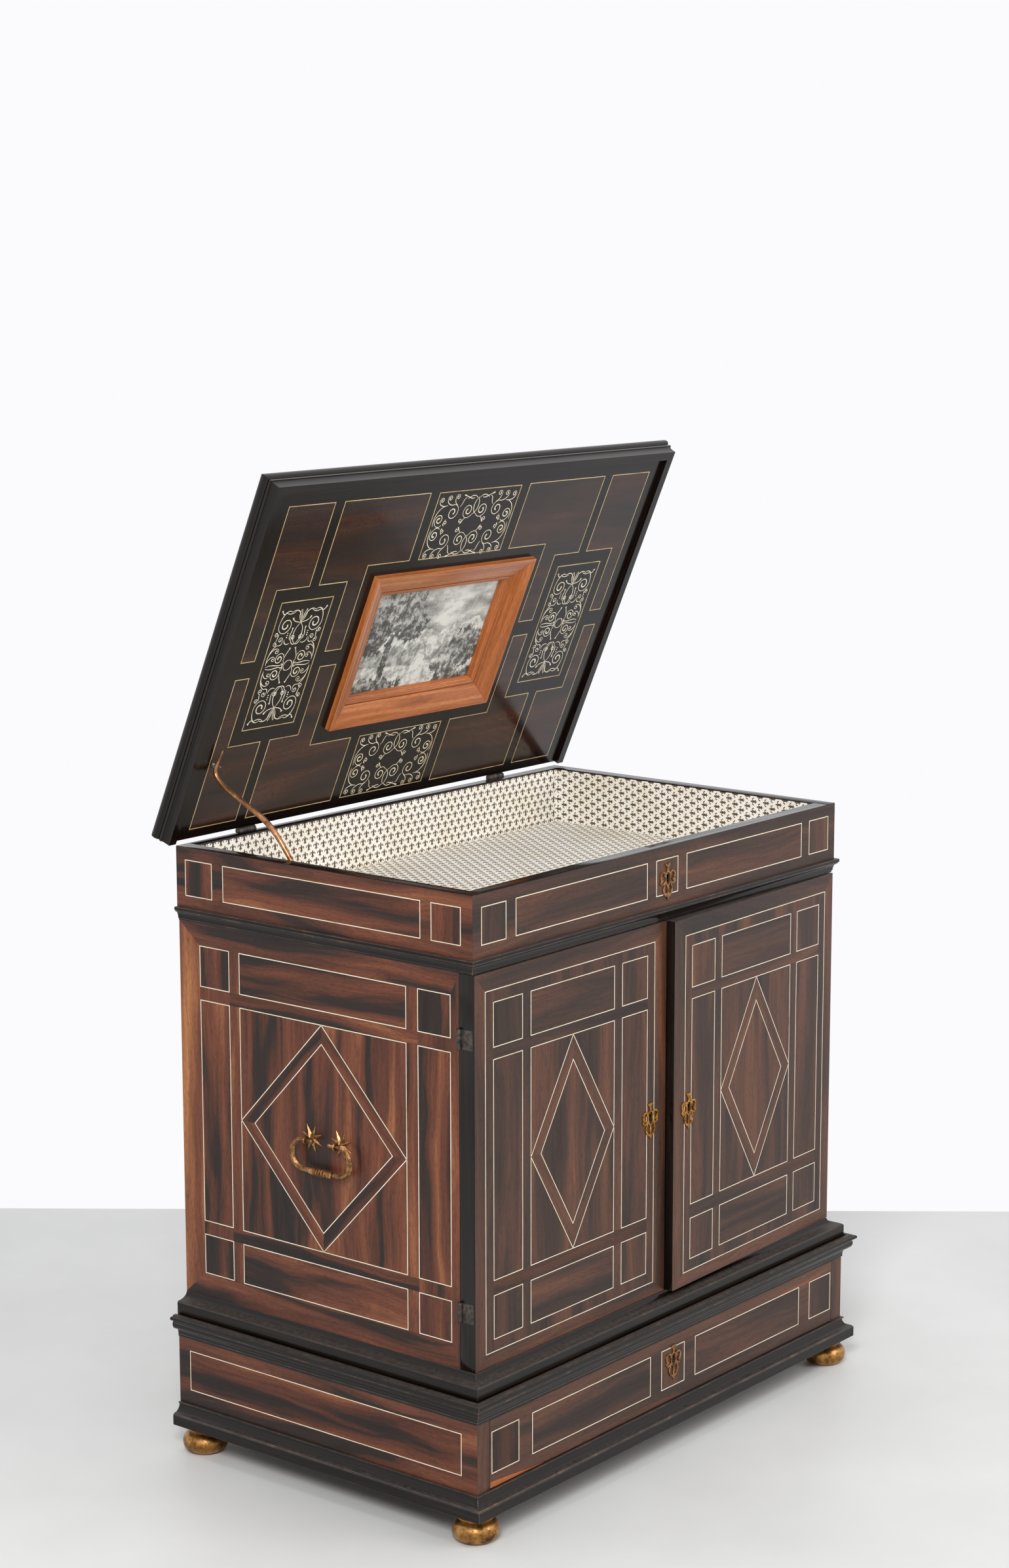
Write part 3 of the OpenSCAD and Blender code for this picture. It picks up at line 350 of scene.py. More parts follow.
def rosewood_finish(name, stops, rough, dim, shine):
    """Rosewood veneer: bands some 40 mm wide with fine growth lines, streaks of 4 mm and drawn pores."""
    made, tree = finish(name)
    uv = mapped(tree, "grain")
    tone = add(tree, "Attribute", {"attribute_name": "tone"}, out="Fac")
    sway = streaks(tree, uv, 0.16, 0.06, 2.0)
    push = add(tree, "CombineXYZ", None, {1: remap(tree, sway, 0.0, 1.0, -0.010, 0.010)})
    bent = add(tree, "VectorMath", {"operation": "ADD"}, {0: uv, 1: push})
    band = streaks(tree, bent, 0.40, 0.036, 3.0, 0.5, 0.4)
    lifted = add(tree, "MapRange", {"clamp": False}, {0: tone, 1: -1.0, 2: 1.0, 3: -0.34, 4: 0.34})
    colour = tint(tree, maths(tree, "ADD", band, lifted), stops)
    growth = remap(tree, maths(tree, "PINGPONG", band, 0.022), 0.0, 0.012, 0.8, 1.0)
    dark = remap(tree, streaks(tree, bent, 0.20, 0.0036, 3.0, 0.6), 0.34, 0.56, 0.74, 1.0)
    pit = remap(tree, streaks(tree, uv, 0.009, 0.0006, 1.0), 0.34, 0.5, 0.66, 1.0)
    depth = dim
    for layer in (growth, dark, pit):
        depth = maths(tree, "MULTIPLY", layer, depth)
    polish = remap(tree, band, 0.3, 0.7, rough + 0.05, rough - 0.04)
    surface(made, mixed(tree, 1.0, colour, depth, "MULTIPLY"), polish, 0.0, shine, (0.12, 0.0003, pit))
    return made


# Waxed rosewood of the sides: charcoal bands against warm red-brown.
side_figure = [(0.30, "#1c1310"), (0.43, "#2e1e18"), (0.49, "#522c1d"), (0.66, "#74402a"),
               (0.95, "#b07246")]
rosewood = rosewood_finish("waxed_rosewood", side_figure, 0.36, 1.12, 0.34)

# Faded rosewood of the front, which has stood in the light: browner and quieter.
front_figure = [(0.22, "#281b16"), (0.42, "#3f291f"), (0.54, "#553425"), (0.75, "#6b422d"),
                (0.95, "#b0602c")]
faded_rosewood = rosewood_finish("faded_rosewood", front_figure, 0.36, 1.08, 0.34)

# Ivory line: creamy, browned with age and dirt along its length.
ivory = mottled("aged_ivory", 0.035, 6.0, 0.7,
                [(0.26, "#a98d60"), (0.38, "#ded0ae"), (0.6, "#f0e8d6")], 0.42)


def mitred(outer, inner, tone):
    """Four mitred strips between two rectangles, each with its grain along it."""
    u0, v0, u1, v1 = outer
    a0, b0, a1, b1 = inner
    return [([(u0, v0), (u1, v0), (a1, b0), (a0, b0)], 0, tone[0], None),
            ([(u1, v0), (u1, v1), (a1, b1), (a1, b0)], 90, tone[1], None),
            ([(u1, v1), (u0, v1), (a0, b1), (a1, b1)], 0, tone[2], None),
            ([(u0, v1), (u0, v0), (a0, b0), (a0, b1)], 90, tone[3], None)]


def thicken(bm, faces, lift):
    """Flat faces given a thickness upward."""
    grown = bmesh.ops.extrude_face_region(bm, geom=faces, use_keep_orig=True)["geom"]
    tops = [g for g in grown if isinstance(g, bmesh.types.BMVert)]
    bmesh.ops.translate(bm, verts=tops, vec=(0, 0, lift))


def veneer(name, place, fields, body, wood=None, slot="rosewood", lift=0.12):
    """Leaves of veneer on a face. A field is an outline, its grain's angle, its tone and a hole or None."""
    bm = bmesh.new()
    grain = bm.loops.layers.uv.new("grain")
    tone = bm.faces.layers.float.new("tone")
    for n, (outline, angle, shade, hole) in enumerate(fields):
        before = set(bm.faces)
        edges = []
        for loop in filter(None, (outline, hole)):
            dots = [bm.verts.new((u, v, 0)) for u, v in loop]
            edges += [bm.edges.new(pair) for pair in zip(dots, dots[1:] + dots[:1])]
        if hole:
            bmesh.ops.triangle_fill(bm, edges=edges, use_beauty=True)
        else:
            bmesh.ops.contextual_create(bm, geom=edges)
        thicken(bm, [f for f in bm.faces if f not in before], lift + 0.0004 * n)
        shift = (rng.uniform(0, 9), rng.uniform(0, 9))
        c, s = math.cos(math.radians(angle)), math.sin(math.radians(angle))
        for face in bm.faces:
            if face in before:
                continue
            face[tone] = shade
            for corner in face.loops:
                u, v = corner.vert.co.x * MM, corner.vert.co.y * MM
                corner[grain].uv = (u * c + v * s + shift[0], v * c - u * s + shift[1])
    return piece(bm, name, body, slot, wood or rosewood, sharp=20, place=place)


def inlay_lines(name, place, outlines, body, width=1.05, lift=0.24, bone=None):
    """Thin lines of ivory, or of another bone, let in along the inside of each outline."""
    bm = bmesh.new()
    for outline in outlines:
        face = bm.faces.new([bm.verts.new((u, v, 0)) for u, v in outline])
        face.normal_update()
        ring = bmesh.ops.inset_region(bm, faces=[face], thickness=width, use_boundary=True,
                                      use_even_offset=True)["faces"]
        bmesh.ops.delete(bm, geom=[face], context="FACES")
        thicken(bm, ring, lift)
    return piece(bm, name, body, "rosewood", bone or ivory, sharp=20, place=place)


def side_place(side, x):
    """Place on the left (-1) or right (1) of the cabinet: depth from front to back, then height."""
    return face_place((side * x, 0, 0), (0, 1, 0), (0, 0, 1), (side, 0, 0))


def front_place(y):
    """Place on a face at the front: width, then height."""
    return face_place((0, y, 0), (1, 0, 0), (0, 0, 1), (0, -1, 0))


# Dark carcass wood: the ground under the veneers, stained nearly black where it shows at an edge.
dark_carcass = board_wood("dark_carcass_wood", "#1a100b", "#2b1a12", "#3a2418", 0.5)
plinth_low, plinth_high, opening_x = 63.0, 150.5, 368.5
line_low, line_high = 81.5, 134.5
for side, word in both_sides:
    eased(f"plinth_{word}_side", "cabinet", "rosewood", 0.4, dark_carcass)
    lined = rect(-230, line_low, 220, line_high)
    ground = [(rect(plinth_front, plinth_low, back_y, plinth_high), 0, 0.14, None), (lined, 0, 0.2, None)]
    veneer(f"plinth_{word}_veneer", side_place(side, plinth_x), ground, "cabinet")
    inlay_lines(f"plinth_{word}_line", side_place(side, plinth_x), [lined], "cabinet")
    a, b = sorted((side * opening_x, side * plinth_x))
    end = (rect(a, plinth_low, b, plinth_high), 90, -0.2, None)
    veneer(f"plinth_{word}_end_veneer", front_place(plinth_front), [end], "cabinet", faded_rosewood)

# Plinth cornice and cap moulding
# Two more runs of ebonised strips: a cornice with an ogee, a bead and a raised lip round the plinth's top,
# and above it a flat cap with a cove that the doors close on.
cornice_section = ([(0, 0), (1.5, 0), (1.5, 3)] + bow(7, 3, 5.5, 9, 180, 90) + bow(7.5, 19, 4.2, 7, -90, 0)
                   + [(11.7, 20.6), (10.8, 21), (10.8, 24.2)] + bow(13.6, 26.6, 2.4, 2.4, -90, 90)
                   + [(11, 29), (11, 30.5), (5, 30.5), (5, 28), (0, 28)])
strip_moulding("cornice_strips", "plinth_cornice", cornice_section, plinth_x, plinth_front, plinth_high,
               back_y, "cabinet")
case_x, tray_front, cap_low = 376.0, -239.0, 178.5
cap_section = ([(0, 0), (17.5, 0), (17.5, 17), (16.3, 17.6)] + bow(16.3, 27.5, 15.8, 9, -90, -180)
               + [(0, 27.5)])
strip_moulding("cap_strips", "cap_moulding", cap_section, case_x, tray_front, cap_low, back_y, "cabinet")

# Case sides
# Two boards veneered in compartments: a mitred border, three by three fields edged with ivory lines,
# and a banded lozenge in the middle, with most of the wood's figure standing upright.


def compartments(cols, rows, small, tones):
    """Fields and ivory lines of three columns by three rows, with a banded lozenge in the middle one."""
    fields, lines = [], []
    for i, (a, b) in enumerate(cols):
        for j, (c, d) in enumerate(rows):
            if (i, j) != (1, 1):
                shade = tones[3 * j + i] + rng.uniform(-0.08, 0.08)
                fields.append((rect(a, c, b, d), 0 if i == 1 else 90, shade, None))
                lines.append(rect(a, c, b, d))
    (a, b), (c, d) = cols[1], rows[1]
    m, n = (a + b) / 2, (c + d) / 2
    lozenge = [(a, n), (m, c), (b, n), (m, d)]
    inner = [(m + (u - m) * small, n + (v - n) * small) for u, v in lozenge]
    corners = [(a, c), (b, c), (b, d), (a, d)]
    for k in range(4):
        p, q = lozenge[k], lozenge[(k + 1) % 4]
        lean = math.degrees(math.atan2(q[1] - p[1], q[0] - p[0]))
        fields.append(([corners[k], q, p], 90, tones[4] + rng.uniform(-0.12, 0.12), None))
        fields.append(([p, q, inner[(k + 1) % 4], inner[k]], lean, 0.14, None))
    fields.append((inner, 90, tones[4] + 0.04, None))
    return fields, lines + [rect(a, c, b, d), lozenge, inner]


case_low, case_high = 206.0, 690.0
case_edge, case_field = (-215.5, case_low, 239.0, case_high), (-203.0, 237.0, 204.5, 662.0)
case_cols = [(-203.0, -152.0), (-134.5, 137.5), (154.0, 204.5)]
case_rows = [(237.0, 289.0), (306.0, 593.0), (609.5, 662.0)]
case_tones = (0.06, 0.1, -0.05, 0.12, 0.1, 0.16, -0.05, 0.05, -0.1)
for side, word in both_sides:
    eased(f"case_{word}_side", "cabinet", "rosewood", 0.3, dark_carcass)
    fields = mitred(case_edge, case_field, (0.08, 0.65, 0.08, 0.05))
    fields.append((rect(*case_field), 90, 0.1, None))
    fields += [(rect(-152, v, 154, v + 16.5), 0, 0.1, None) for v in (289, 593)]
    middle, lines = compartments(case_cols, case_rows, 0.835, case_tones)
    veneer(f"case_{word}_veneer", side_place(side, case_x), fields + middle, "cabinet")
    inlay_lines(f"case_{word}_lines", side_place(side, case_x), lines, "cabinet")

# Waist moulding
# Three mitred strips of ebonised pear wood, planed to a cove under a square fillet.
# They are glued round the edges of the board between case and tray.
waist_section = ([(0, 0), (1.2, 0), (1.2, 2.5)] + bow(6.4, 2.5, 4.2, 9, 180, 90)
                 + [(7, 11.5), (7, 13), (8.6, 13.6), (8.6, 18), (0, 18)])
# The fillet's top takes the ebonised finish's grey, which paints the light line along the waist.
strip_moulding("waist_strips", "waist_moulding", waist_section, case_x, tray_front + 3, case_high, back_y,
               "cabinet")

# Tray walls
# Four boards with an ebony rim, ebonised inside; the sides and front have rosewood veneer and ivory lines.
# They are joined at the corners, and the front one has a lock let into it from behind.
tray_x, rim_z, tray_z = 379.0, 785.0, 708.0
rim_edge = rim_z - 0.9
box_low, box_high = 723.0, 769.0
key = {"tray": 743.5, "door": 442.0, "drawer": 118.0}

# Ebony under a high polish, near black with faint streaks, on the rim and inside the lid.
ebony, tree = finish("polished_ebony")
run = streaks(tree, mapped(tree, "grain"), 0.12, 0.003, 4.0, 0.6)
surface(ebony, tint(tree, run, [(0.3, "#0d0806"), (0.6, "#170f0b"), (0.8, "#2a1b13")]), 0.18, 0.0, 0.3)


def planed_rim(p):
    """The rim is scraped down 0.3 mm, which leaves room for the inlay when the lid is shut."""
    return Vector((p.x, p.y, min(p.z, (rim_z - 0.3) * MM)))


def key_cut(u, v):
    """Opening in the veneer for a keyhole."""
    return rect(u - 2.6, v - 5.2, u + 2.6, v + 4.8)


def in_row(spans, low, high):
    """Rectangles in a row between two heights."""
    return [rect(a, low, b, high) for a, b in spans]


def whole_fields(outlines, angles, tones):
    """Fields of veneer that have no hole."""
    return [(*field, None) for field in zip(outlines, angles, tones)]


def lock_front(name, y, edge, spans, low, high, half, tones, key_z, body, more=()):
    """Veneer and ivory lines of a front that has boxes in a row and a lock box in the middle."""
    boxes = in_row(spans, low, high)
    lock_box = rect(-half, low, half, high)
    fields = [(rect(*edge), 0, tones[0], lock_box)]
    fields += whole_fields(boxes, (90, 0, 0, 90), tones[1:5])
    fields.append((lock_box, 90, tones[5], key_cut(0, key_z)))
    veneer(f"{name}_veneer", front_place(y), fields + [*more], body, faded_rosewood)
    inlay_lines(f"{name}_lines", front_place(y), boxes + [lock_box], body)


for node in ("tray_left_wall", "tray_right_wall", "tray_front_wall", "tray_back_wall"):
    eased(node, "cabinet", "rosewood", 0.5, ebonised, ebony, choose=lambda c: 1 if c.z > rim_edge else 0,
          reshape=planed_rim)
for side, word in both_sides:
    boxes = in_row([(-221.5, -176), (-160, 160), (178, 224)], box_low, box_high)
    fields = [(rect(tray_front, tray_z, back_y, rim_edge), 0, 0.12, None)]
    fields += whole_fields(boxes, (90, 0, 90), (0.05, 0.2, 0.05))
    veneer(f"tray_{word}_veneer", side_place(side, tray_x), fields, "cabinet")
    inlay_lines(f"tray_{word}_lines", side_place(side, tray_x), boxes, "cabinet")
lock_front("tray_front", tray_front, (-tray_x, tray_z, tray_x, rim_edge),
           [(-363.4, -317.5), (-300, -41), (41, 300), (317.5, 363.4)], box_low, box_high, 23,
           (-0.08, -0.2, 0.0, 0.22, 0.1, -0.1), key["tray"], "cabinet")

# Lining paper
# Block-printed paper in five sheets, cream with brown lilies in staggered rows, pasted in the tray.
# The side sheets are turned, so that their lilies lie along the wall.


def oval(tree, where, mid, reach, turn=0):
    """Place within an oval, as a vector that is 1 long at its edge, and the length of that vector."""
    part = add(tree, "Mapping", {"vector_type": "TEXTURE"},
               {"Vector": where, "Location": (*mid, 0), "Rotation": (0, 0, math.radians(turn)),
                "Scale": (*reach, 1)})
    return part, add(tree, "VectorMath", {"operation": "LENGTH"}, {0: part}, "Value")


# Lining paper: cream rag paper, a little stained, with worn brown ink.
# A lily is half drawn, mirrored and repeated: ovals for its leaves and foot, and an arc for a curled petal.
lilies, tree = finish("printed_lining_paper")
lily_w, lily_h = 14.0, 10.2
x, y = add(tree, "SeparateXYZ", None, {0: mapped(tree, "sheet")}).node.outputs[:2]
odd = maths(tree, "FLOORED_MODULO", maths(tree, "FLOOR", maths(tree, "DIVIDE", y, lily_h)), 2.0)
moved = maths(tree, "MULTIPLY_ADD", odd, lily_w / 2, x)
wrapped = maths(tree, "FLOORED_MODULO", moved, lily_w)
across = maths(tree, "ABSOLUTE", maths(tree, "SUBTRACT", wrapped, lily_w / 2))
up = maths(tree, "SUBTRACT", maths(tree, "FLOORED_MODULO", y, lily_h), lily_h / 2)
spot = add(tree, "CombineXYZ", None, {0: across, 1: up})
off = add(tree, "VectorMath", {"operation": "SUBTRACT"}, {0: spot, 1: (3.0, 0.6, 0)})
far = add(tree, "VectorMath", {"operation": "LENGTH"}, {0: off}, "Value")
ink = maths(tree, "MULTIPLY", maths(tree, "COMPARE", far, 1.6, 0.6), maths(tree, "GREATER_THAN", up, 0.3))
for mid, turn, reach in (((0.0, 2.4), 0, (1.2, 2.9)), ((0.0, -1.0), 0, (1.5, 1.1)),
                         ((0.0, -3.2), 0, (1.05, 2.1)), ((4.5, 0.4), 0, (1.0, 0.9)),
                         ((0.95, -0.2), 56, (1.4, 0.6)), ((1.5, -2.7), -50, (1.5, 0.65))):
    inside = maths(tree, "LESS_THAN", oval(tree, spot, mid, reach, turn)[1], 1.0)
    ink = maths(tree, "MAXIMUM", ink, inside)
held = remap(tree, speckle(tree, 0.003, 4.0), 0.3, 0.5, 0.85, 1.0)
cream = tint(tree, speckle(tree, 0.09, 5.0, 0.6), [(0.3, "#eee7d6"), (0.6, "#f7f4ec")])
printed = mixed(tree, maths(tree, "MULTIPLY", ink, held), cream, linear("#5d4839"))
surface(lilies, printed, 0.8, 0.0, 0.25)

in_x, in_front, in_back, paper_t, paper_top = 359.0, -219.0, 221.0, 0.6, 783.0
low, depth, height = tray_z + paper_t, in_back - in_front, paper_top - tray_z - paper_t
inner_depth = depth - 2 * paper_t
sheets = [(face_place((-in_x, in_front, tray_z), (1, 0, 0), (0, 1, 0), (0, 0, 1)), 2 * in_x, depth, False),
          (face_place((-in_x, in_back, low), (1, 0, 0), (0, 0, 1), (0, -1, 0)), 2 * in_x, height, False),
          (face_place((-in_x, in_front, low), (1, 0, 0), (0, 0, 1), (0, 1, 0)), 2 * in_x, height, False)]
for side in (-1, 1):
    place = face_place((side * in_x, in_front + paper_t, low), (0, 1, 0), (0, 0, 1), (-side, 0, 0))
    sheets.append((place, inner_depth, height, True))
bm = bmesh.new()
sheet = bm.loops.layers.uv.new("sheet")
for place, wide, tall, turned in sheets:
    before = set(bm.verts)
    thicken(bm, [bm.faces.new([bm.verts.new((u, v, 0)) for u, v in rect(0, 0, wide, tall)])], paper_t)
    fresh = [v for v in bm.verts if v not in before]
    for v in fresh:
        for corner in v.link_loops:
            corner[sheet].uv = (v.co.y + 3, v.co.x) if turned else (v.co.x + 2, v.co.y + 4)
    bmesh.ops.transform(bm, matrix=place, verts=fresh)
lining = piece(bm, "pasted_paper", "cabinet", "paper", lilies, sharp=20)
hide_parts("lining_paper")

# Escutcheons, locks and hinges
# Keyhole plates cast in brass and bronze, pierced and pinned on; locks and hinges of wrought iron.
# The hinges are let into the edges of the case, doors and lid.

# Old cast brass: yellow, with brown tarnish in patches and a pitted skin.
brass = mottled("old_cast_brass", 0.008, 6.0, 0.7,
                [(0.28, "#3a2208"), (0.42, "#8a5a1e"), (0.58, "#c28a3c"), (0.8, "#e8c07a")],
                (0.3, 0.7, 0.52, 0.28), 0.92, bump=(0.3, 0.0004))

# Cast bronze: the handles and two of the plates, browner and coppery on the high spots.
cast_bronze = mottled("old_cast_bronze", 0.007, 6.0, 0.7,
                      [(0.28, "#392619"), (0.44, "#765333"), (0.6, "#b28657"), (0.8, "#dab98d")],
                      (0.3, 0.7, 0.5, 0.28), 0.9, bump=(0.3, 0.0004))

# Blackened iron: forge scale and a little rust.
iron = mottled("blackened_iron", 0.005, 7.0, 0.7, [(0.35, "#2c2825"), (0.55, "#514a45"), (0.72, "#6b5646")],
               0.5, 0.65, bump=(0.5, 0.0005))

for node, body, metal in (("tray_escutcheon", "cabinet", cast_bronze),
                          ("left_door_escutcheon", "left_door", brass),
                          ("right_door_escutcheon", "right_door", brass),
                          ("drawer_escutcheon", "base_drawer", cast_bronze)):
    eased(node, body, "gilt_brass", 0.3, metal)
for node, body in (("tray_lock", "cabinet"), ("fixed_hinge_leaves", "cabinet"), ("hinge_pins", "cabinet"),
                   ("stay_pivot", "cabinet"), ("lid_hinge_leaves", "lid"),
                   ("left_door_lock", "left_door"), ("left_door_hinge_leaves", "left_door"),
                   ("right_door_lock", "right_door"), ("right_door_hinge_leaves", "right_door"),
                   ("drawer_lock", "base_drawer")):
    eased(node, body, "iron", 0.2, iron, reshape=planed_rim if node == "tray_lock" else None)

# Base drawer
# A wide drawer on runners: a veneered front lapped over two sides, a back and a thin bottom of plain oak.
# A sliver of the front's lower edge has lost its veneer and shows orange wood.

# Plain oak: planed, unpolished and pale brown.
drawer_oak = board_wood("plain_oak", "#7a5836", "#9c7650", "#b48c62", 0.6)
eased("drawer_front", "base_drawer", "rosewood", 0.5, dark_carcass, fixed=(1, 0, 0))
eased("drawer_box", "base_drawer", "drawer_wood", 0.4, drawer_oak)
eased("drawer_bottom", "base_drawer", "drawer_wood", 0.4, drawer_oak)
sliver = ([(-367.5, 64.2), (-262, 64.2), (-300, 66.5), (-340, 70), (-367.5, 72)], 0, 1.0, None)
lock_front("drawer_front", plinth_front, (-367.75, 64, 367.75, 149.5),
           [(-365, -313), (-288, -48), (48, 288), (313, 365)], line_low, line_high, 25,
           (0.02, -0.2, -0.05, -0.02, -0.2, -0.15), key["drawer"], "base_drawer", [sliver])

# Coin drawers
# Eight shallow drawers behind the doors, with a rosewood front edged by one ivory line, two brass knobs,
# and plain oak sides, back and bottom.
coin_front, coin_join, coin_step = -179.5, -167.5, 60.5
for row in range(8):
    name = f"coin_drawer_{row + 1}"
    low = case_low + coin_step * row
    eased(name, name, "rosewood", 0.4, rosewood, brass, drawer_oak,
          choose=lambda c: 1 if c.y < coin_front - 0.02 else 0 if c.y < coin_join + 0.02 else 2)
    inlay_lines(name + "_line", front_place(coin_front), [rect(-347, low + 11, 347, low + 50)], name,
                lift=0.1)

# Doors
# Two boards veneered in the same compartments as the case, with one more ivory line round them all.
# They hang on two iron hinges each; the right one stands a little ajar.
ajar_angle = math.radians(1.8)
door_pin = Vector((0.3765, -0.21575, 0))
ajar = Matrix.Translation(door_pin) @ Matrix.Rotation(ajar_angle, 4, "Z") @ Matrix.Translation(-door_pin)
door_cols = [(-342.0, -287.0), (-272.0, -107.3), (-92.0, -39.3)]
door_rows = [(239.0, 294.0), (312.0, 583.0), (597.0, 652.0)]
door_edge, door_line, door_back = (-case_x, 207, -0.5, 689), (-357.0, 223.7, -24.3, 667.0), -217.5
door_tones = (-0.2, -0.15, -0.22, -0.05, -0.02, -0.1, -0.25, -0.2, -0.2)
for word in ("left", "right"):
    body = f"{word}_door"
    place = front_place(tray_front)
    swung = 0
    if word == "right":
        place = ajar @ face_place((0, tray_front, 0), (-1, 0, 0), (0, 0, 1), (0, -1, 0))
        swung = ajar_angle
    eased(body, body, "rosewood", 0.5, ebonised, dark_carcass,
          choose=lambda c: 1 if c.y + swung * (case_x - c.x) > door_back else 0, fixed=(0, 0, 1))
    fields = mitred(door_edge, door_line, (0.05, -0.1, -0.1, 0.05))
    fields.append((rect(*door_line), 90, -0.15, key_cut(-33, key["door"])))
    fields += [(rect(-342, v, -39.3, v + h), 0, -0.12, None) for v, h in ((294, 18), (583, 14))]
    middle, lines = compartments(door_cols, door_rows, 0.77, door_tones)
    veneer(f"{body}_veneer", place, fields + middle, body, faded_rosewood)
    inlay_lines(f"{body}_lines", place, lines + [rect(*door_line)], body, 0.95)

# Side handles
# Two eight-pointed stars of cast bronze sit on each side of the case, and an eye stands on each star.
# A cast bail with faceted arms and a ribbed grip hangs in the two eyes and swings.
star_r, star_h, eye_u, handle_y, handle_z = 19.0, 4.5, 24.0, -5.0, 448.0
half_w, drop, reach, bend, sweep, grip_half = 47.0, 37.0, 11.0, 16.8, 18.6, 19.0
steps, ribs = 14, 9


def handle_place(side):
    """Place on a case side with its middle between the two eyes."""
    return face_place((side * case_x, handle_y, handle_z), (0, 1, 0), (0, 0, 1), (side, 0, 0))


stars = bmesh.new()
for side in (-1, 1):
    for u in (-eye_u, eye_u):
        before = set(stars.verts)
        star = bmesh.ops.create_circle(stars, cap_ends=True, cap_tris=True, segments=16,
                                       radius=star_r)["verts"]
        rays = sorted((v for v in star if v.co.length > 1), key=lambda v: math.atan2(v.co.y, v.co.x))
        for v in rays[1::2]:
            v.co *= 0.36
        hub = min(star, key=lambda v: v.co.length)
        hub.co.z = star_h
        for v in rays:
            v.co.z = 0.9
        rim = [e for e in stars.edges if e.is_boundary and e.verts[0] in star]
        skirt = bmesh.ops.extrude_edge_only(stars, edges=rim)["geom"]
        for v in (g for g in skirt if isinstance(g, bmesh.types.BMVert)):
            v.co.z = 0.0
        fresh = [v for v in stars.verts if v not in before]
        bmesh.ops.translate(stars, verts=fresh, vec=(u, 0, 0))
        bmesh.ops.transform(stars, matrix=handle_place(side), verts=fresh)
star_piece = piece(stars, "brass_stars", "cabinet", "gilt_brass", cast_bronze, sharp=15)
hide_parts("star_rosettes")
eased("bail_eyes", "cabinet", "gilt_brass", 0, cast_bronze)


def faceted_bar(bm, stops):
    """A six-sided bar through stops: a middle, its broad side's direction, half its width and thickness."""
    ring = None
    for (u, v), tilt, wide, thick in stops:
        c, s = math.cos(math.radians(tilt)), math.sin(math.radians(tilt))
        spots = [(u + c * k * wide, v + s * k * wide, h * thick)
                 for k, h in ((1, 0), (0.45, 1), (-0.45, 1), (-1, 0), (-0.45, -1), (0.45, -1))]
        if ring is None:
            ring = [bm.verts.new(spot) for spot in spots]
            face = bm.faces.new(ring)
            edges = face.edges[:]
            continue
        grown = bmesh.ops.extrude_edge_only(bm, edges=edges)["geom"]
        fresh = [g for g in grown if isinstance(g, bmesh.types.BMVert)]
        last = {v.co.to_tuple(4): i for i, v in enumerate(ring)}
        fresh.sort(key=lambda v: last[v.co.to_tuple(4)])
        edges = [g for g in grown if isinstance(g, bmesh.types.BMEdge) and set(g.verts) <= set(fresh)]
        for dot, spot in zip(fresh, spots):
            dot.co = spot
        ring = fresh
    bmesh.ops.edgeloop_fill(bm, edges=edges)


arm = [(p, 90 - 90 * i / steps, 2.4 + 1.7 * i / steps, 2.1 + 0.8 * i / steps)
       for i, p in enumerate(bow(half_w - bend, -bend, bend, bend, 90, 0, steps))]
arm += [(p, -90 * i / steps, 4.1 - 0.8 * i / steps, 2.9 - 0.2 * i / steps)
        for i, p in enumerate(bow(half_w - sweep, sweep - drop, sweep, sweep, 0, -90, steps))]
collar = ((23.0, 3.1, 2.7), (21.6, 3.6, 3.2), (20.4, 3.0, 2.7), (grip_half - 2, 2.6, 2.4))
arm += [((u, -drop), -90, wide, thick) for u, wide, thick in collar]
ball = bow(eye_u - 9, 0, 3.2, 3.2, 180, 45, 9)
ball += [(eye_u - 6.4, 2.1), (half_w - bend + 0.5, 2.1), (half_w - bend + 0.5, 0.0)]
grip = [(-grip_half, 0.0), (-grip_half, 3.0)]
for i in range(ribs):
    mid = -grip_half + (i + 0.5) * 2 * grip_half / ribs
    high = 4.4 + math.sin(math.radians(180 * (i + 0.5) / ribs))
    rib = ((-1.8, 3.5), (-1.0, high - 0.25), (0, high), (1.0, high - 0.25), (1.8, 3.5))
    grip += [(mid + u, r) for u, r in rib]
grip += [(grip_half, 3.0), (grip_half, 0.0)]
for side, word in both_sides:
    bm = bmesh.new()
    for sign in (-1, 1):
        faceted_bar(bm, [((sign * p[0], p[1]), a if sign > 0 else 180 - a, w, t) for p, a, w, t in arm])
        lathe(bm, [(sign * u, r, 0) for u, r in ball], (1, 0, 0), 24)
    turned = lathe(bm, [(u, r, 0) for u, r in grip], (1, 0, 0), 36)
    bmesh.ops.translate(bm, verts=turned, vec=(0, -drop, 0))
    bmesh.ops.translate(bm, verts=bm.verts[:], vec=(0, 0, reach))
    bmesh.ops.remove_doubles(bm, verts=bm.verts[:], dist=WELD)
    bail = piece(bm, f"{word}_cast_bail", f"{word}_bail", "gilt_brass", cast_bronze, sharp=30,
                 place=handle_place(side))
    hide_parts(f"{word}_bail")

# Lid panel
# A broad panel, ebony inside with fields of polished rosewood edged with bone lines, rosewood outside.
# It is hinged at the back and stands open; the inside has a high French polish.
lid_y, lid_t, lid_x, lid_len, lean = 243.5, 24.0, 382.0, 485.5, math.radians(66.6)
lid_open = Matrix.Translation((0, lid_y * MM, rim_z * MM)) @ Matrix.Rotation(-lean, 4, "X")
under = lid_open @ face_place((0, 0, 0), (1, 0, 0), (0, -1, 0), (0, 0, -1))
over = lid_open @ face_place((0, 0, lid_t), (1, 0, 0), (0, -1, 0), (0, 0, 1))
frame_u, frame_v, frame_b, back_in, sheet_low = 158.0, 110.0, 245.0, 15.0, -13.6

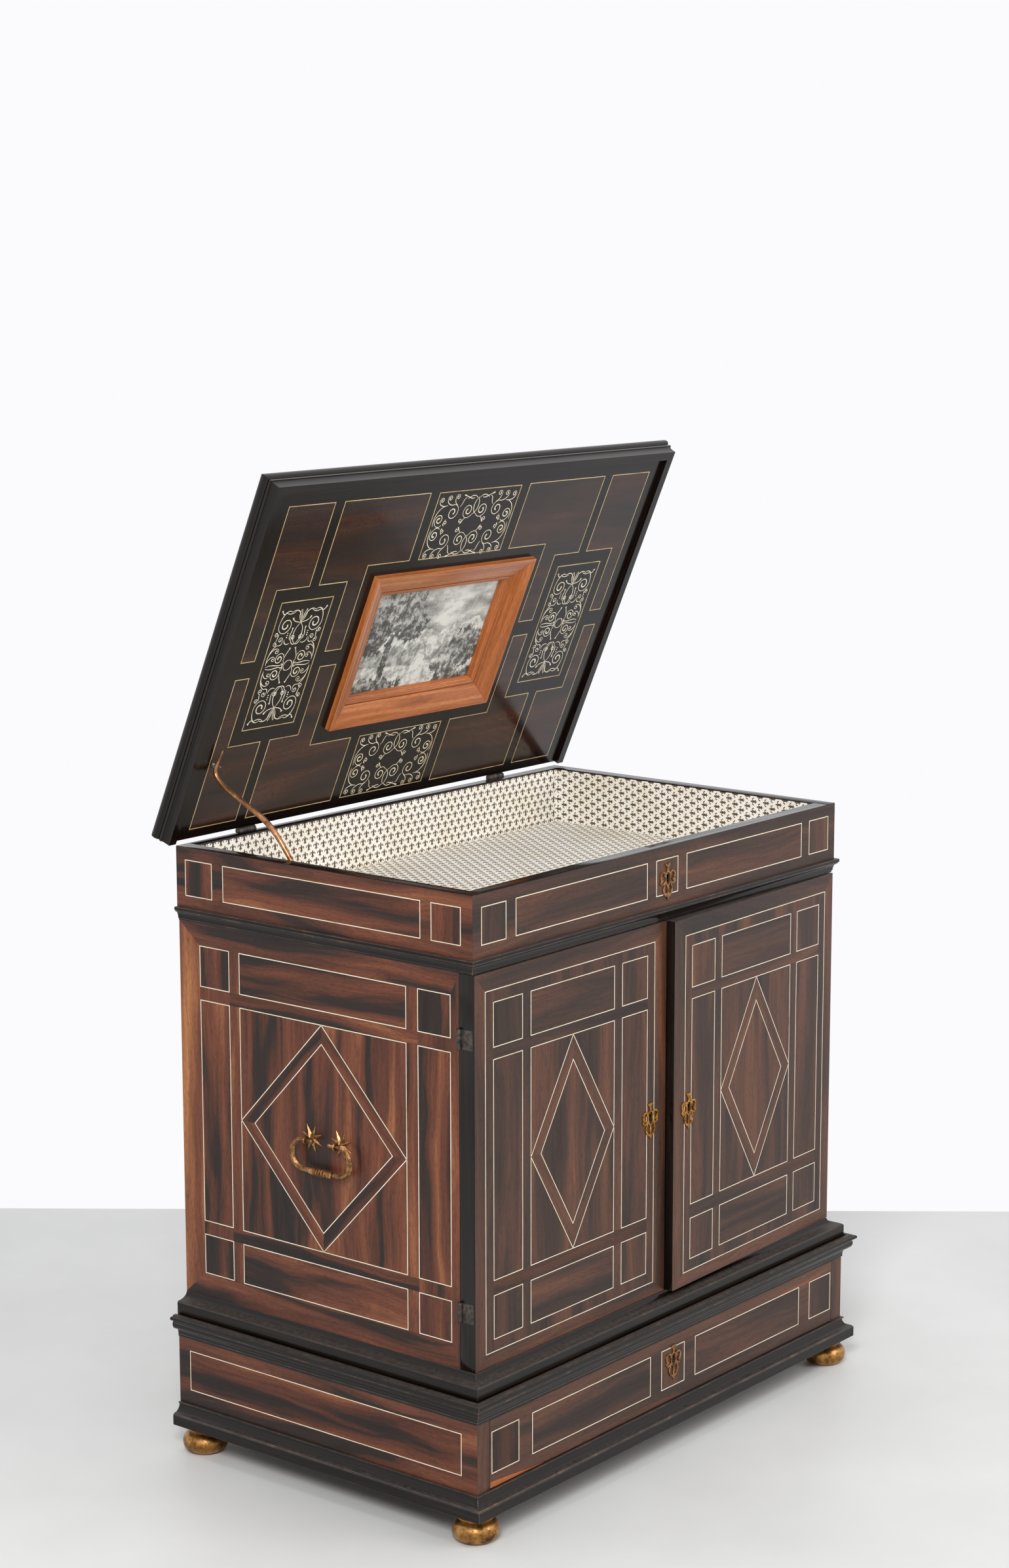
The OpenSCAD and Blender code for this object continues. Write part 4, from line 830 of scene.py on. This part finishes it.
# Polished rosewood: dark and even under a thick polish.
lid_figure = [(0.3, "#26150f"), (0.48, "#3f2317"), (0.62, "#522d1c"), (0.9, "#6e3f27")]
polished_rosewood = rosewood_finish("polished_rosewood", lid_figure, 0.13, 0.7, 0.42)

# Bone line: yellowed by the polish over it.
gold_line = mottled("yellowed_bone", 0.03, 6.0, 0.7,
                    [(0.3, "#8a6c3c"), (0.45, "#c4a974"), (0.65, "#ddcaa0")], 0.3)


def deep_recess(p):
    """The panel's recess is widened to the frame's back and sunk to the sheet."""
    u, v, h = under.inverted() @ p
    if abs(u) > 130 or abs(v - frame_b) > 82 or h < -20:
        return p
    u = math.copysign(frame_u - back_in + 0.2, u)
    v = frame_b + math.copysign(frame_v - back_in + 0.2, v - frame_b)
    return under @ Vector((u, v, sheet_low if h < -1 else h))


eased("lid_panel", "lid", "rosewood", 0.4, ebonised, reshape=deep_recess)
mid_b = 242.5
inside, top_field = (-362, 19, 362, 468), (-330, 60, 330, 430)
ground = mitred((-381.5, 5, 381.5, 485), inside, (0, 0, 0, 0))
ground.append((rect(*inside), 0, 0, rect(-146, 147, 146, 343)))
veneer("lid_ebony_ground", under, ground, "lid", ebony, "ebonised_wood", 0.08)
elbow = [(-359, 467), (-276, 467), (-276, 351.5), (-334, 351.5), (-334, 254), (-359, 254)]
step = [(-259.5, 467), (-99, 467), (-99, 371), (-177, 371), (-177, 253), (-208, 253), (-208, 351.5),
        (-259.5, 351.5)]
corner_fields = []
for sx in (1, -1):
    for flip in (False, True):
        for outline in (elbow, step):
            corner_fields.append([(sx * u, 2 * mid_b - v if flip else v) for u, v in outline])
fields = [(outline, 0, rng.uniform(-0.25, 0.0), None) for outline in corner_fields]
veneer("lid_fields", under, fields, "lid", polished_rosewood, "rosewood", 0.14)
scroll_boxes = [rect(-82, 370.5, 82, 466), rect(-82, 19, 82, 113.5), rect(-318, 153.5, -224, 333.5),
                rect(224, 153.5, 318, 333.5)]
inlay_lines("lid_lines", under, corner_fields + scroll_boxes, "lid", 1.1, 0.22, gold_line)
fields = mitred((-lid_x, 5, lid_x, lid_len), top_field, (0, 0, 0, 0)) + [(rect(*top_field), 0, 0.1, None)]
veneer("lid_top_veneer", over, fields, "lid")
inlay_lines("lid_top_line", over, [rect(*top_field)], "lid")

# Scroll inlay
# Ivory vine scrolls in four panels of the lid, cut with a fret saw and let into the ebony.
# Each panel is one quarter drawn four times, with tendrils that end in small balls.


def rod_mesh(paths, sides):
    """Round rods along paths of points, each point with its radius."""
    curve = bpy.data.curves.new("rod", "CURVE")
    curve.dimensions = "3D"
    curve.bevel_depth = 1.0
    curve.bevel_resolution = sides
    curve.use_fill_caps = True
    for path in paths:
        spline = curve.splines.new("POLY")
        spline.points.add(len(path) - 1)
        for dot, (spot, radius) in zip(spline.points, path):
            dot.co = (spot[0], spot[1], spot[2] if len(spot) > 2 else 0, 1)
            dot.radius = radius
    holder = bpy.data.objects.new("rod", curve)
    mesh = bpy.data.meshes.new_from_object(holder)
    bm = bmesh.new()
    bm.from_mesh(mesh)
    bpy.data.objects.remove(holder)
    bpy.data.curves.remove(curve)
    bpy.data.meshes.remove(mesh)
    bmesh.ops.remove_doubles(bm, verts=bm.verts[:], dist=WELD)
    return bm


def bezier(ends, t):
    """Point at a share of the way along a cubic curve with four plane points."""
    weights = ((1 - t) ** 3, 3 * t * (1 - t) ** 2, 3 * t * t * (1 - t), t ** 3)
    return tuple(sum(w * end[n] for w, end in zip(weights, ends)) for n in (0, 1))


def tendril(cx, cy, radius, start, turns, thick):
    """A spiral from its outer end inward, swelling to a ball at its eye."""
    path = []
    count = int(26 * abs(turns))
    for i in range(count + 1):
        t = i / count
        a = math.radians(start + 360 * turns * t)
        r = radius * (1 - 0.8 * t)
        path.append(((cx + r * math.cos(a), cy + r * math.sin(a)), thick * (0.45 + 0.75 * t ** 1.5)))
    path[-1] = (path[-1][0], thick * 1.5)
    return path


def vine(p, q, r, s, thick, ball=0.0):
    """A curved stem between two points, tapering at both ends or ending in a ball."""
    path = []
    for i in range(15):
        t = i / 14
        width = max(thick * (0.45 + 0.55 * math.sin(math.pi * t)), ball * (3 * t - 2))
        path.append((bezier((p, q, r, s), t), width))
    return path


wide_quarter = [
    vine((0.5, 39), (-6, 33), (-7, 19), (4.5, 14.5), 0.7), tendril(13.6, 20.6, 11, 214, 1.6, 1.0),
    tendril(44, 20, 12, 60, 1.5, 0.95), tendril(42, 42, 4.2, 0, 1.3, 0.85),
    vine((46.2, 42), (46.5, 36), (43, 32), (38, 30), 0.7), tendril(57, 41, 4.2, 0, 1.3, 0.85),
    vine((61.2, 41), (61, 34), (53, 30), (45, 31), 0.7), tendril(72, 39, 4.2, 0, 1.3, 0.85),
    vine((76.2, 39), (76, 32), (68, 29), (58, 31), 0.7), tendril(67, 11, 8.6, -60, 1.5, 1.15),
    vine((58, 31), (74, 30), (80, 16), (76, 2), 0.7), vine((71.3, 3.6), (68, 0), (63, -1), (59, 3), 0.7),
    tendril(24, 6.5, 3.6, 250, -1.2, 0.85), tendril(52.6, 6, 3.6, 290, 1.2, 0.85),
    vine((23, 3), (20, 1), (20, 9), (15, 10), 0.7), vine((53.6, 2.6), (57, 1), (57, 6), (53, 11), 0.65),
    vine((2, 38), (8, 45), (16, 42), (21, 38), 0.7), vine((8, 39), (13, 36), (20, 41), (30, 44), 0.75, 1.5),
    vine((24, 40), (31, 38), (27, 32), (33, 27), 0.7)]
tall_quarter = [
    vine((0, 60), (1, 68), (2, 76), (5, 79), 0.6), vine((0, 60), (5, 66), (9, 75), (4, 79), 0.6),
    vine((0, 60), (6, 62), (13, 61), (16.5, 68), 0.7, 1.7),
    vine((2, 66), (6, 79), (14, 81), (22, 76), 0.75), vine((14, 78), (20, 72), (28, 74), (33, 77), 0.65),
    vine((22, 77), (30, 82), (38, 72), (38.3, 60), 0.8),
    vine((31, 76), (35, 73), (38, 75), (40, 80), 0.75, 1.6), tendril(26, 58, 12.5, 10, -1.6, 1.1),
    vine((0, 60), (10, 52), (10, 38), (0, 30), 0.7), tendril(7, 39.5, 4.4, -70, 1.3, 0.9),
    vine((0, 30), (4, 29), (7, 31), (8.5, 35.4), 0.7),
    vine((12, 37), (15, 44), (10, 49), (12, 54), 0.7, 1.6),
    vine((18, 47.5), (18, 47), (18, 46.5), (18, 46), 1.0),
    vine((18, 44.5), (18, 44), (18, 43.5), (18, 43), 1.2),
    vine((18, 41.5), (18, 41), (18, 40.5), (18, 40), 1.4),
    vine((10, 32), (15, 29), (21, 32), (21, 38), 0.7), tendril(28, 38, 4.2, 200, -1.2, 0.8),
    vine((24, 36.6), (22, 32), (26, 29), (31, 31), 0.7), tendril(38, 47, 3.6, 180, 1.2, 0.85),
    vine((34.4, 47), (33, 43), (36, 40), (35, 36.8), 0.65), tendril(35.5, 33, 3.8, 100, -1.2, 0.85),
    vine((30, 31), (38, 28), (43, 18), (41, 4), 0.8), tendril(28, 22, 3.8, 120, 1.1, 0.8),
    vine((26.1, 25.3), (32, 28), (38, 24), (41, 16), 0.65), tendril(31, 11, 3.4, 120, 1.1, 0.75),
    vine((29.3, 14), (34, 17), (39, 13), (41.5, 6), 0.65), tendril(19.5, 10.8, 9, 200, -1.6, 1.05),
    vine((11, 7.7), (8, 4), (9, -1), (13, -4), 0.7),
    vine((10.5, 12), (9, 17), (7, 20), (4.5, 25), 0.7, 1.6), vine((0, 7), (4, 7.5), (7, 4), (7.5, 0), 0.7),
    vine((10, 3), (18, -2), (28, 6), (40, 1), 0.7)]
scrolls = []
for cx, cy, quarter in ((0, 415.0, wide_quarter), (0, 66.3, wide_quarter), (-271, 241.5, tall_quarter),
                        (271, 241.5, tall_quarter)):
    for sx in (1, -1):
        for sy in (1, -1):
            scrolls += [[((cx + sx * p[0], cy + sy * p[1]), 0.85 * r) for p, r in path] for path in quarter]
bm = rod_mesh(scrolls, 1)
for v in bm.verts:
    v.co.z *= 0.16
bmesh.ops.translate(bm, verts=bm.verts[:], vec=(0, 0, 0.12))
piece(bm, "lid_scrolls", "lid", "rosewood", ivory, sharp=60, place=under)

# Lid moulding
# Three mitred strips of ebonised pear wood, planed to a shallow cove, a fillet and a bead.
# They are glued round the front and sides of the lid, and their lip drops over the tray.
lid_section = ([(0, 0), (12, 0)] + bow(14, 0, 2, 12, 180, 90) + [(15.2, 12), (15.2, 15), (14, 15), (14, 17)]
               + bow(13.5, 23.5, 4, 6.5, -90, 90) + [(0, 30)])
strip_moulding("lid_strips", "lid_moulding", lid_section, lid_x, -lid_len, -6, -4.5, "lid",
               lid_open @ Matrix.Scale(MM, 4))

# Picture frame and print
# Four mitred members of fruitwood with a bevel, a groove and a bead inward, glued inside the lid.
# Deep under them lies an engraving on rag paper: a hatched landscape of hills, cloud and trees.

# Varnished fruitwood: orange brown and glossy.
fruitwood = board_wood("varnished_fruitwood", "#96501f", "#b2642f", "#c87d47", 0.2, 0.55)
frame_section = ([(0, 0), (0, 7.3)] + bow(1.4, 7.3, 1.4, 1.4, 180, 70, 6)
                 + [(28, -2.4), (28.3, -5.2), (29, -5.2)] + bow(29.4, -12.5, 7.9, 9.4, 92, 0)
                 + [(37.3, -13), (back_in, -13), (back_in, 0)])
bm = bmesh.new()
corners = [(-1, -1), (1, -1), (1, 1), (-1, 1)]
for pair in zip(corners, corners[1:] + corners[:1]):
    ends = [[bm.verts.new((sx * (frame_u - u), frame_b + sy * (frame_v - u), h)) for u, h in frame_section]
            for sx, sy in pair]
    for ring in ends:
        bm.faces.new(ring)
    for i in range(len(frame_section)):
        bm.faces.new((ends[0][i - 1], ends[0][i], ends[1][i], ends[1][i - 1]))
bmesh.ops.recalc_face_normals(bm, faces=bm.faces[:])
bmesh.ops.transform(bm, matrix=under, verts=bm.verts[:])
bm.normal_update()
lay_grain(bm)
picture = piece(bm, "fruitwood_frame", "lid", "frame_wood", fruitwood, sharp=25)
soften(picture, "soft_arris", 0.5)
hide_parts("picture_frame")

# Engraving: grey rag paper hatched with dark lines, which are wider where the scene is darker.
# The scene is cloud, three ranges of hills, and light and dark masses with ragged edges.
engraving, tree = finish("engraved_rag_paper")
uv = mapped(tree, "sheet")
x, y = add(tree, "SeparateXYZ", None, {0: uv}).node.outputs[:2]
leafage = streaks(tree, uv, 11, 11, 8.0, 0.7)
light = remap(tree, streaks(tree, uv, 70, 32, 5.0, 0.6), 0.32, 0.68, 0.35, 1.0)
for wave, seed, level, rise, shade in ((60, 3.0, 92.0, 36.0, 0.7), (45, 9.0, 66.0, 30.0, 0.52),
                                       (70, 21.0, 40.0, 12.0, 0.72)):
    along = maths(tree, "MULTIPLY_ADD", x, 1 / wave, seed)
    ridge = add(tree, "TexNoise", {"noise_dimensions": "1D"}, {"W": along, "Scale": 1.0, "Detail": 4.0})
    skyline = remap(tree, ridge, 0.2, 0.8, level - rise / 2, level + rise / 2)
    land = remap(tree, leafage, 0.4, 0.62, shade - 0.12, shade + 0.25)
    below = maths(tree, "LESS_THAN", y, skyline)
    light = add(tree, "Mix", {"data_type": "FLOAT"}, {0: below, 2: light, 3: land})
ragged = add(tree, "MapRange", {"clamp": False}, {0: leafage, 1: 0.0, 2: 1.0, 3: -0.9, 4: 0.9})
masses = [((132, 22), (13, 34), 0.9), ((150, 60), (9, 14), 0.85), ((60, 50), (6, 52), 0.12),
          ((62, 118), (48, 34), 0.3), ((26, 88), (30, 28), 0.18), ((98, 96), (26, 22), 0.25),
          ((222, 52), (34, 30), 0.25), ((190, 30), (26, 18), 0.35), ((40, 10), (60, 14), 0.2),
          ((225, 4), (60, 14), 0.15)]
for mid, spread, shade in masses:
    part, size = oval(tree, uv, mid, spread)
    within = maths(tree, "LESS_THAN", maths(tree, "ADD", size, ragged), 1.0)
    lit = add(tree, "SeparateXYZ", None, {0: part}, 1)
    lobes = maths(tree, "MULTIPLY_ADD", lit, 0.05, leafage)
    mass = remap(tree, lobes, 0.42, 0.6, shade - 0.15, shade + 0.45)
    light = add(tree, "Mix", {"data_type": "FLOAT"}, {0: within, 2: light, 3: mass})
lined = maths(tree, "MULTIPLY_ADD", y, 0.62, x)
hatch = maths(tree, "PINGPONG", maths(tree, "MULTIPLY_ADD", leafage, 5.0, lined), 0.8)
cut = maths(tree, "GREATER_THAN", hatch, maths(tree, "MULTIPLY", light, 0.85))
wash = tint(tree, light, [(0.1, "#858682"), (0.5, "#bdbdb7"), (0.9, "#e4e3dc")])
surface(engraving, mixed(tree, cut, wash, linear("#454542")), 0.55)

print_u, print_low, print_high = 126.7, 166.3, 323.7
bm = bmesh.new()
sheet = bm.loops.layers.uv.new("sheet")
outline = rect(-print_u, print_low, print_u, print_high)
thicken(bm, [bm.faces.new([bm.verts.new((u, v, sheet_low)) for u, v in outline])], paper_t)
for face in bm.faces:
    for corner in face.loops:
        corner[sheet].uv = (corner.vert.co.x + print_u, corner.vert.co.y - print_low)
print_piece = piece(bm, "engraved_sheet", "lid", "paper", engraving, sharp=20, place=under)
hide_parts("print_sheet")

# Lid stay
# A forged bronze rod in a long S that tapers to a hooked tail, on a pivot in the tray's left wall.
# It leans in an open staple of bright iron on the lid and holds the lid up.

# Rubbed bronze: copper coloured, bright where hands have rubbed it.
bronze = mottled("rubbed_bronze", 0.009, 6.0, 0.65, [(0.3, "#5b3a26"), (0.5, "#9b6a45"), (0.7, "#c79a70")],
                 0.3, 0.8, bump=(0.3, 0.0004))


def lid_point(along, out):
    """Depth and height of a point along the open lid's underside and out from it."""
    return Vector((lid_y - along * math.cos(lean) - out * math.sin(lean),
                   rim_z + along * math.sin(lean) - out * math.cos(lean)))


stay_x, eye_along = -352.5, 112
pivot, eye, tail = Vector((44, 757)), lid_point(eye_along, 6), lid_point(136, 9)
turn = pivot + Vector((62, 66))
start = [pivot + Vector(step) for step in ((3.9, 2.6), (26, 22), (38, 48))]
stretches = [(start + [turn], 2.6, 3.7),
             ([turn, turn + Vector((34, 25)), eye + (eye - tail) * 1.1, eye], 3.7, 2.6),
             ([eye, eye + (tail - eye) * 0.35, tail + (eye - tail) * 0.4, tail], 2.6, 1.0)]
path = []
for ends, r0, r1 in stretches:
    for i in range(24):
        t = i / 24
        path.append(((stay_x, *bezier(ends, t)), r0 + (r1 - r0) * t))
path.append(((stay_x, tail.x, tail.y), 1.0))
bm = rod_mesh([path], 6)
hub = [(-2.5, 2.5, 0), (-2.5, 5.9, 0), (-2.0, 6.4, 0), (2.0, 6.4, 0), (2.5, 5.9, 0), (2.5, 2.5, 0)]
ring = lathe(bm, hub, (1, 0, 0), 40, True)
bmesh.ops.translate(bm, verts=ring, vec=(stay_x, pivot.x, pivot.y))
bmesh.ops.remove_doubles(bm, verts=bm.verts[:], dist=WELD)
rod = piece(bm, "bronze_stay", "stay", "bronze", bronze, sharp=40, place=Matrix.Scale(MM, 4))
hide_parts("stay_rod")

# Bright iron: an eye that the rod has rubbed clean, grey with a few dark pits.
bright_iron = mottled("bright_iron", 0.002, 4.0, 0.5,
                      [(0.3, "#77706a"), (0.5, "#b5afa8"), (0.7, "#d3cec8")], 0.3, 0.9)
eye_r, limb, wire, foot_out = 4.4, 10.0, 0.85, 2.2
staple = [(-eye_r, limb)] + bow(0, 5.5, eye_r, eye_r, 180, 360, 20) + [(eye_r, limb)]
bm = rod_mesh([[((stay_x + u, eye_along, h), wire) for u, h in staple],
               [((stay_x, eye_along, h), foot_out) for h in (0.0, 0.7)]], 4)
staple_piece = piece(bm, "bright_stay_eye", "lid", "iron", bright_iron, sharp=40, place=under)
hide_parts("stay_eye")

# Room
# A plain pale floor seen against white, with the camera to the left of the cabinet's front.
# Three square lamps light it softly from the left, from the front and from above.
yaw, pitch, roll = math.radians(-52.391), math.radians(-10.239), math.radians(0.188)
photo_w, photo_h, focal, centre_x, centre_y, sensor = 1540, 2393, 4725.007, 900, 1210, 36.0
ahead = Vector((-math.sin(yaw) * math.cos(pitch), math.cos(yaw) * math.cos(pitch), math.sin(pitch)))
right = ahead.cross(Vector((0, 0, 1))).normalized()
up = right.cross(ahead)
turned_right = right * math.cos(roll) + up * math.sin(roll)
turned_up = up * math.cos(roll) - right * math.sin(roll)
lens = bpy.data.cameras.new("camera")
lens.sensor_width = sensor
lens.lens = focal * sensor / photo_h
lens.shift_x = (photo_w / 2 - centre_x) / photo_h
lens.shift_y = (centre_y - photo_h / 2) / photo_h
lens.clip_end = 40.0
camera = bpy.data.objects.new("camera", lens)
pose = Matrix((turned_right, turned_up, -ahead)).transposed().to_4x4()
camera.matrix_world = Matrix.Translation((-3.051, -2.467, 1.5333)) @ pose
bpy.context.scene.collection.objects.link(camera)
bpy.context.scene.camera = camera

# Pale stone: almost even, with a dull sheen.
pale = mottled("pale_stone_floor", 0.5, 6.0, 0.6, [(0.3, "#d6d6d4"), (0.7, "#e2e2e0")], 0.45, shine=0.25)
floor_half, floor_behind = 3.5, 0.82
bm = bmesh.new()
bmesh.ops.create_grid(bm, x_segments=1, y_segments=1, size=floor_half)
bmesh.ops.translate(bm, verts=bm.verts[:], vec=(0, floor_behind - floor_half, 0))
bmesh.ops.rotate(bm, verts=bm.verts[:], cent=(0, 0, 0), matrix=Matrix.Rotation(yaw, 3, "Z"))
mesh = bpy.data.meshes.new("floor")
bm.to_mesh(mesh)
bm.free()
mesh.materials.append(pale)
floor = bpy.data.objects.new("floor", mesh)
bpy.context.scene.collection.objects.link(floor)

for name, spot, size, power in (("key", (-3.6, -2.3, 3.4), 1.6, 165), ("fill", (1.6, -3.9, 2.6), 2.4, 68),
                                ("top", (0.0, 0.2, 4.2), 2.4, 40)):
    lamp = bpy.data.lights.new(name, "AREA")
    lamp.shape = "SQUARE"
    lamp.size = size
    lamp.energy = power
    holder = bpy.data.objects.new(name, lamp)
    aim = Vector((0, 0, 0.6)) - Vector(spot)
    holder.matrix_world = Matrix.Translation(spot) @ aim.to_track_quat("-Z", "Y").to_matrix().to_4x4()
    bpy.context.scene.collection.objects.link(holder)

# The room's white is seen by the camera and in reflections; its light on the cabinet is weaker.
world = bpy.data.worlds.new("white_room")
bpy.context.scene.world = world
world.use_nodes = True
tree = world.node_tree
ambient = tree.nodes["Background"]
feed(tree, ambient, {"Color": linear("#f4f6fa"), "Strength": 0.5})
seen = add(tree, "Background", None, {"Color": linear("#fbfbfd"), "Strength": 1.0})
ray = add(tree, "LightPath").node.outputs
shown = maths(tree, "MAXIMUM", ray["Is Camera Ray"], ray["Is Glossy Ray"])
shown = maths(tree, "MAXIMUM", shown, ray["Is Transmission Ray"])
both = add(tree, "MixShader", None, {0: shown, 1: ambient.outputs[0], 2: seen})
feed(tree, tree.nodes["World Output"], {"Surface": both})
bpy.context.scene.view_settings.view_transform = "Standard"
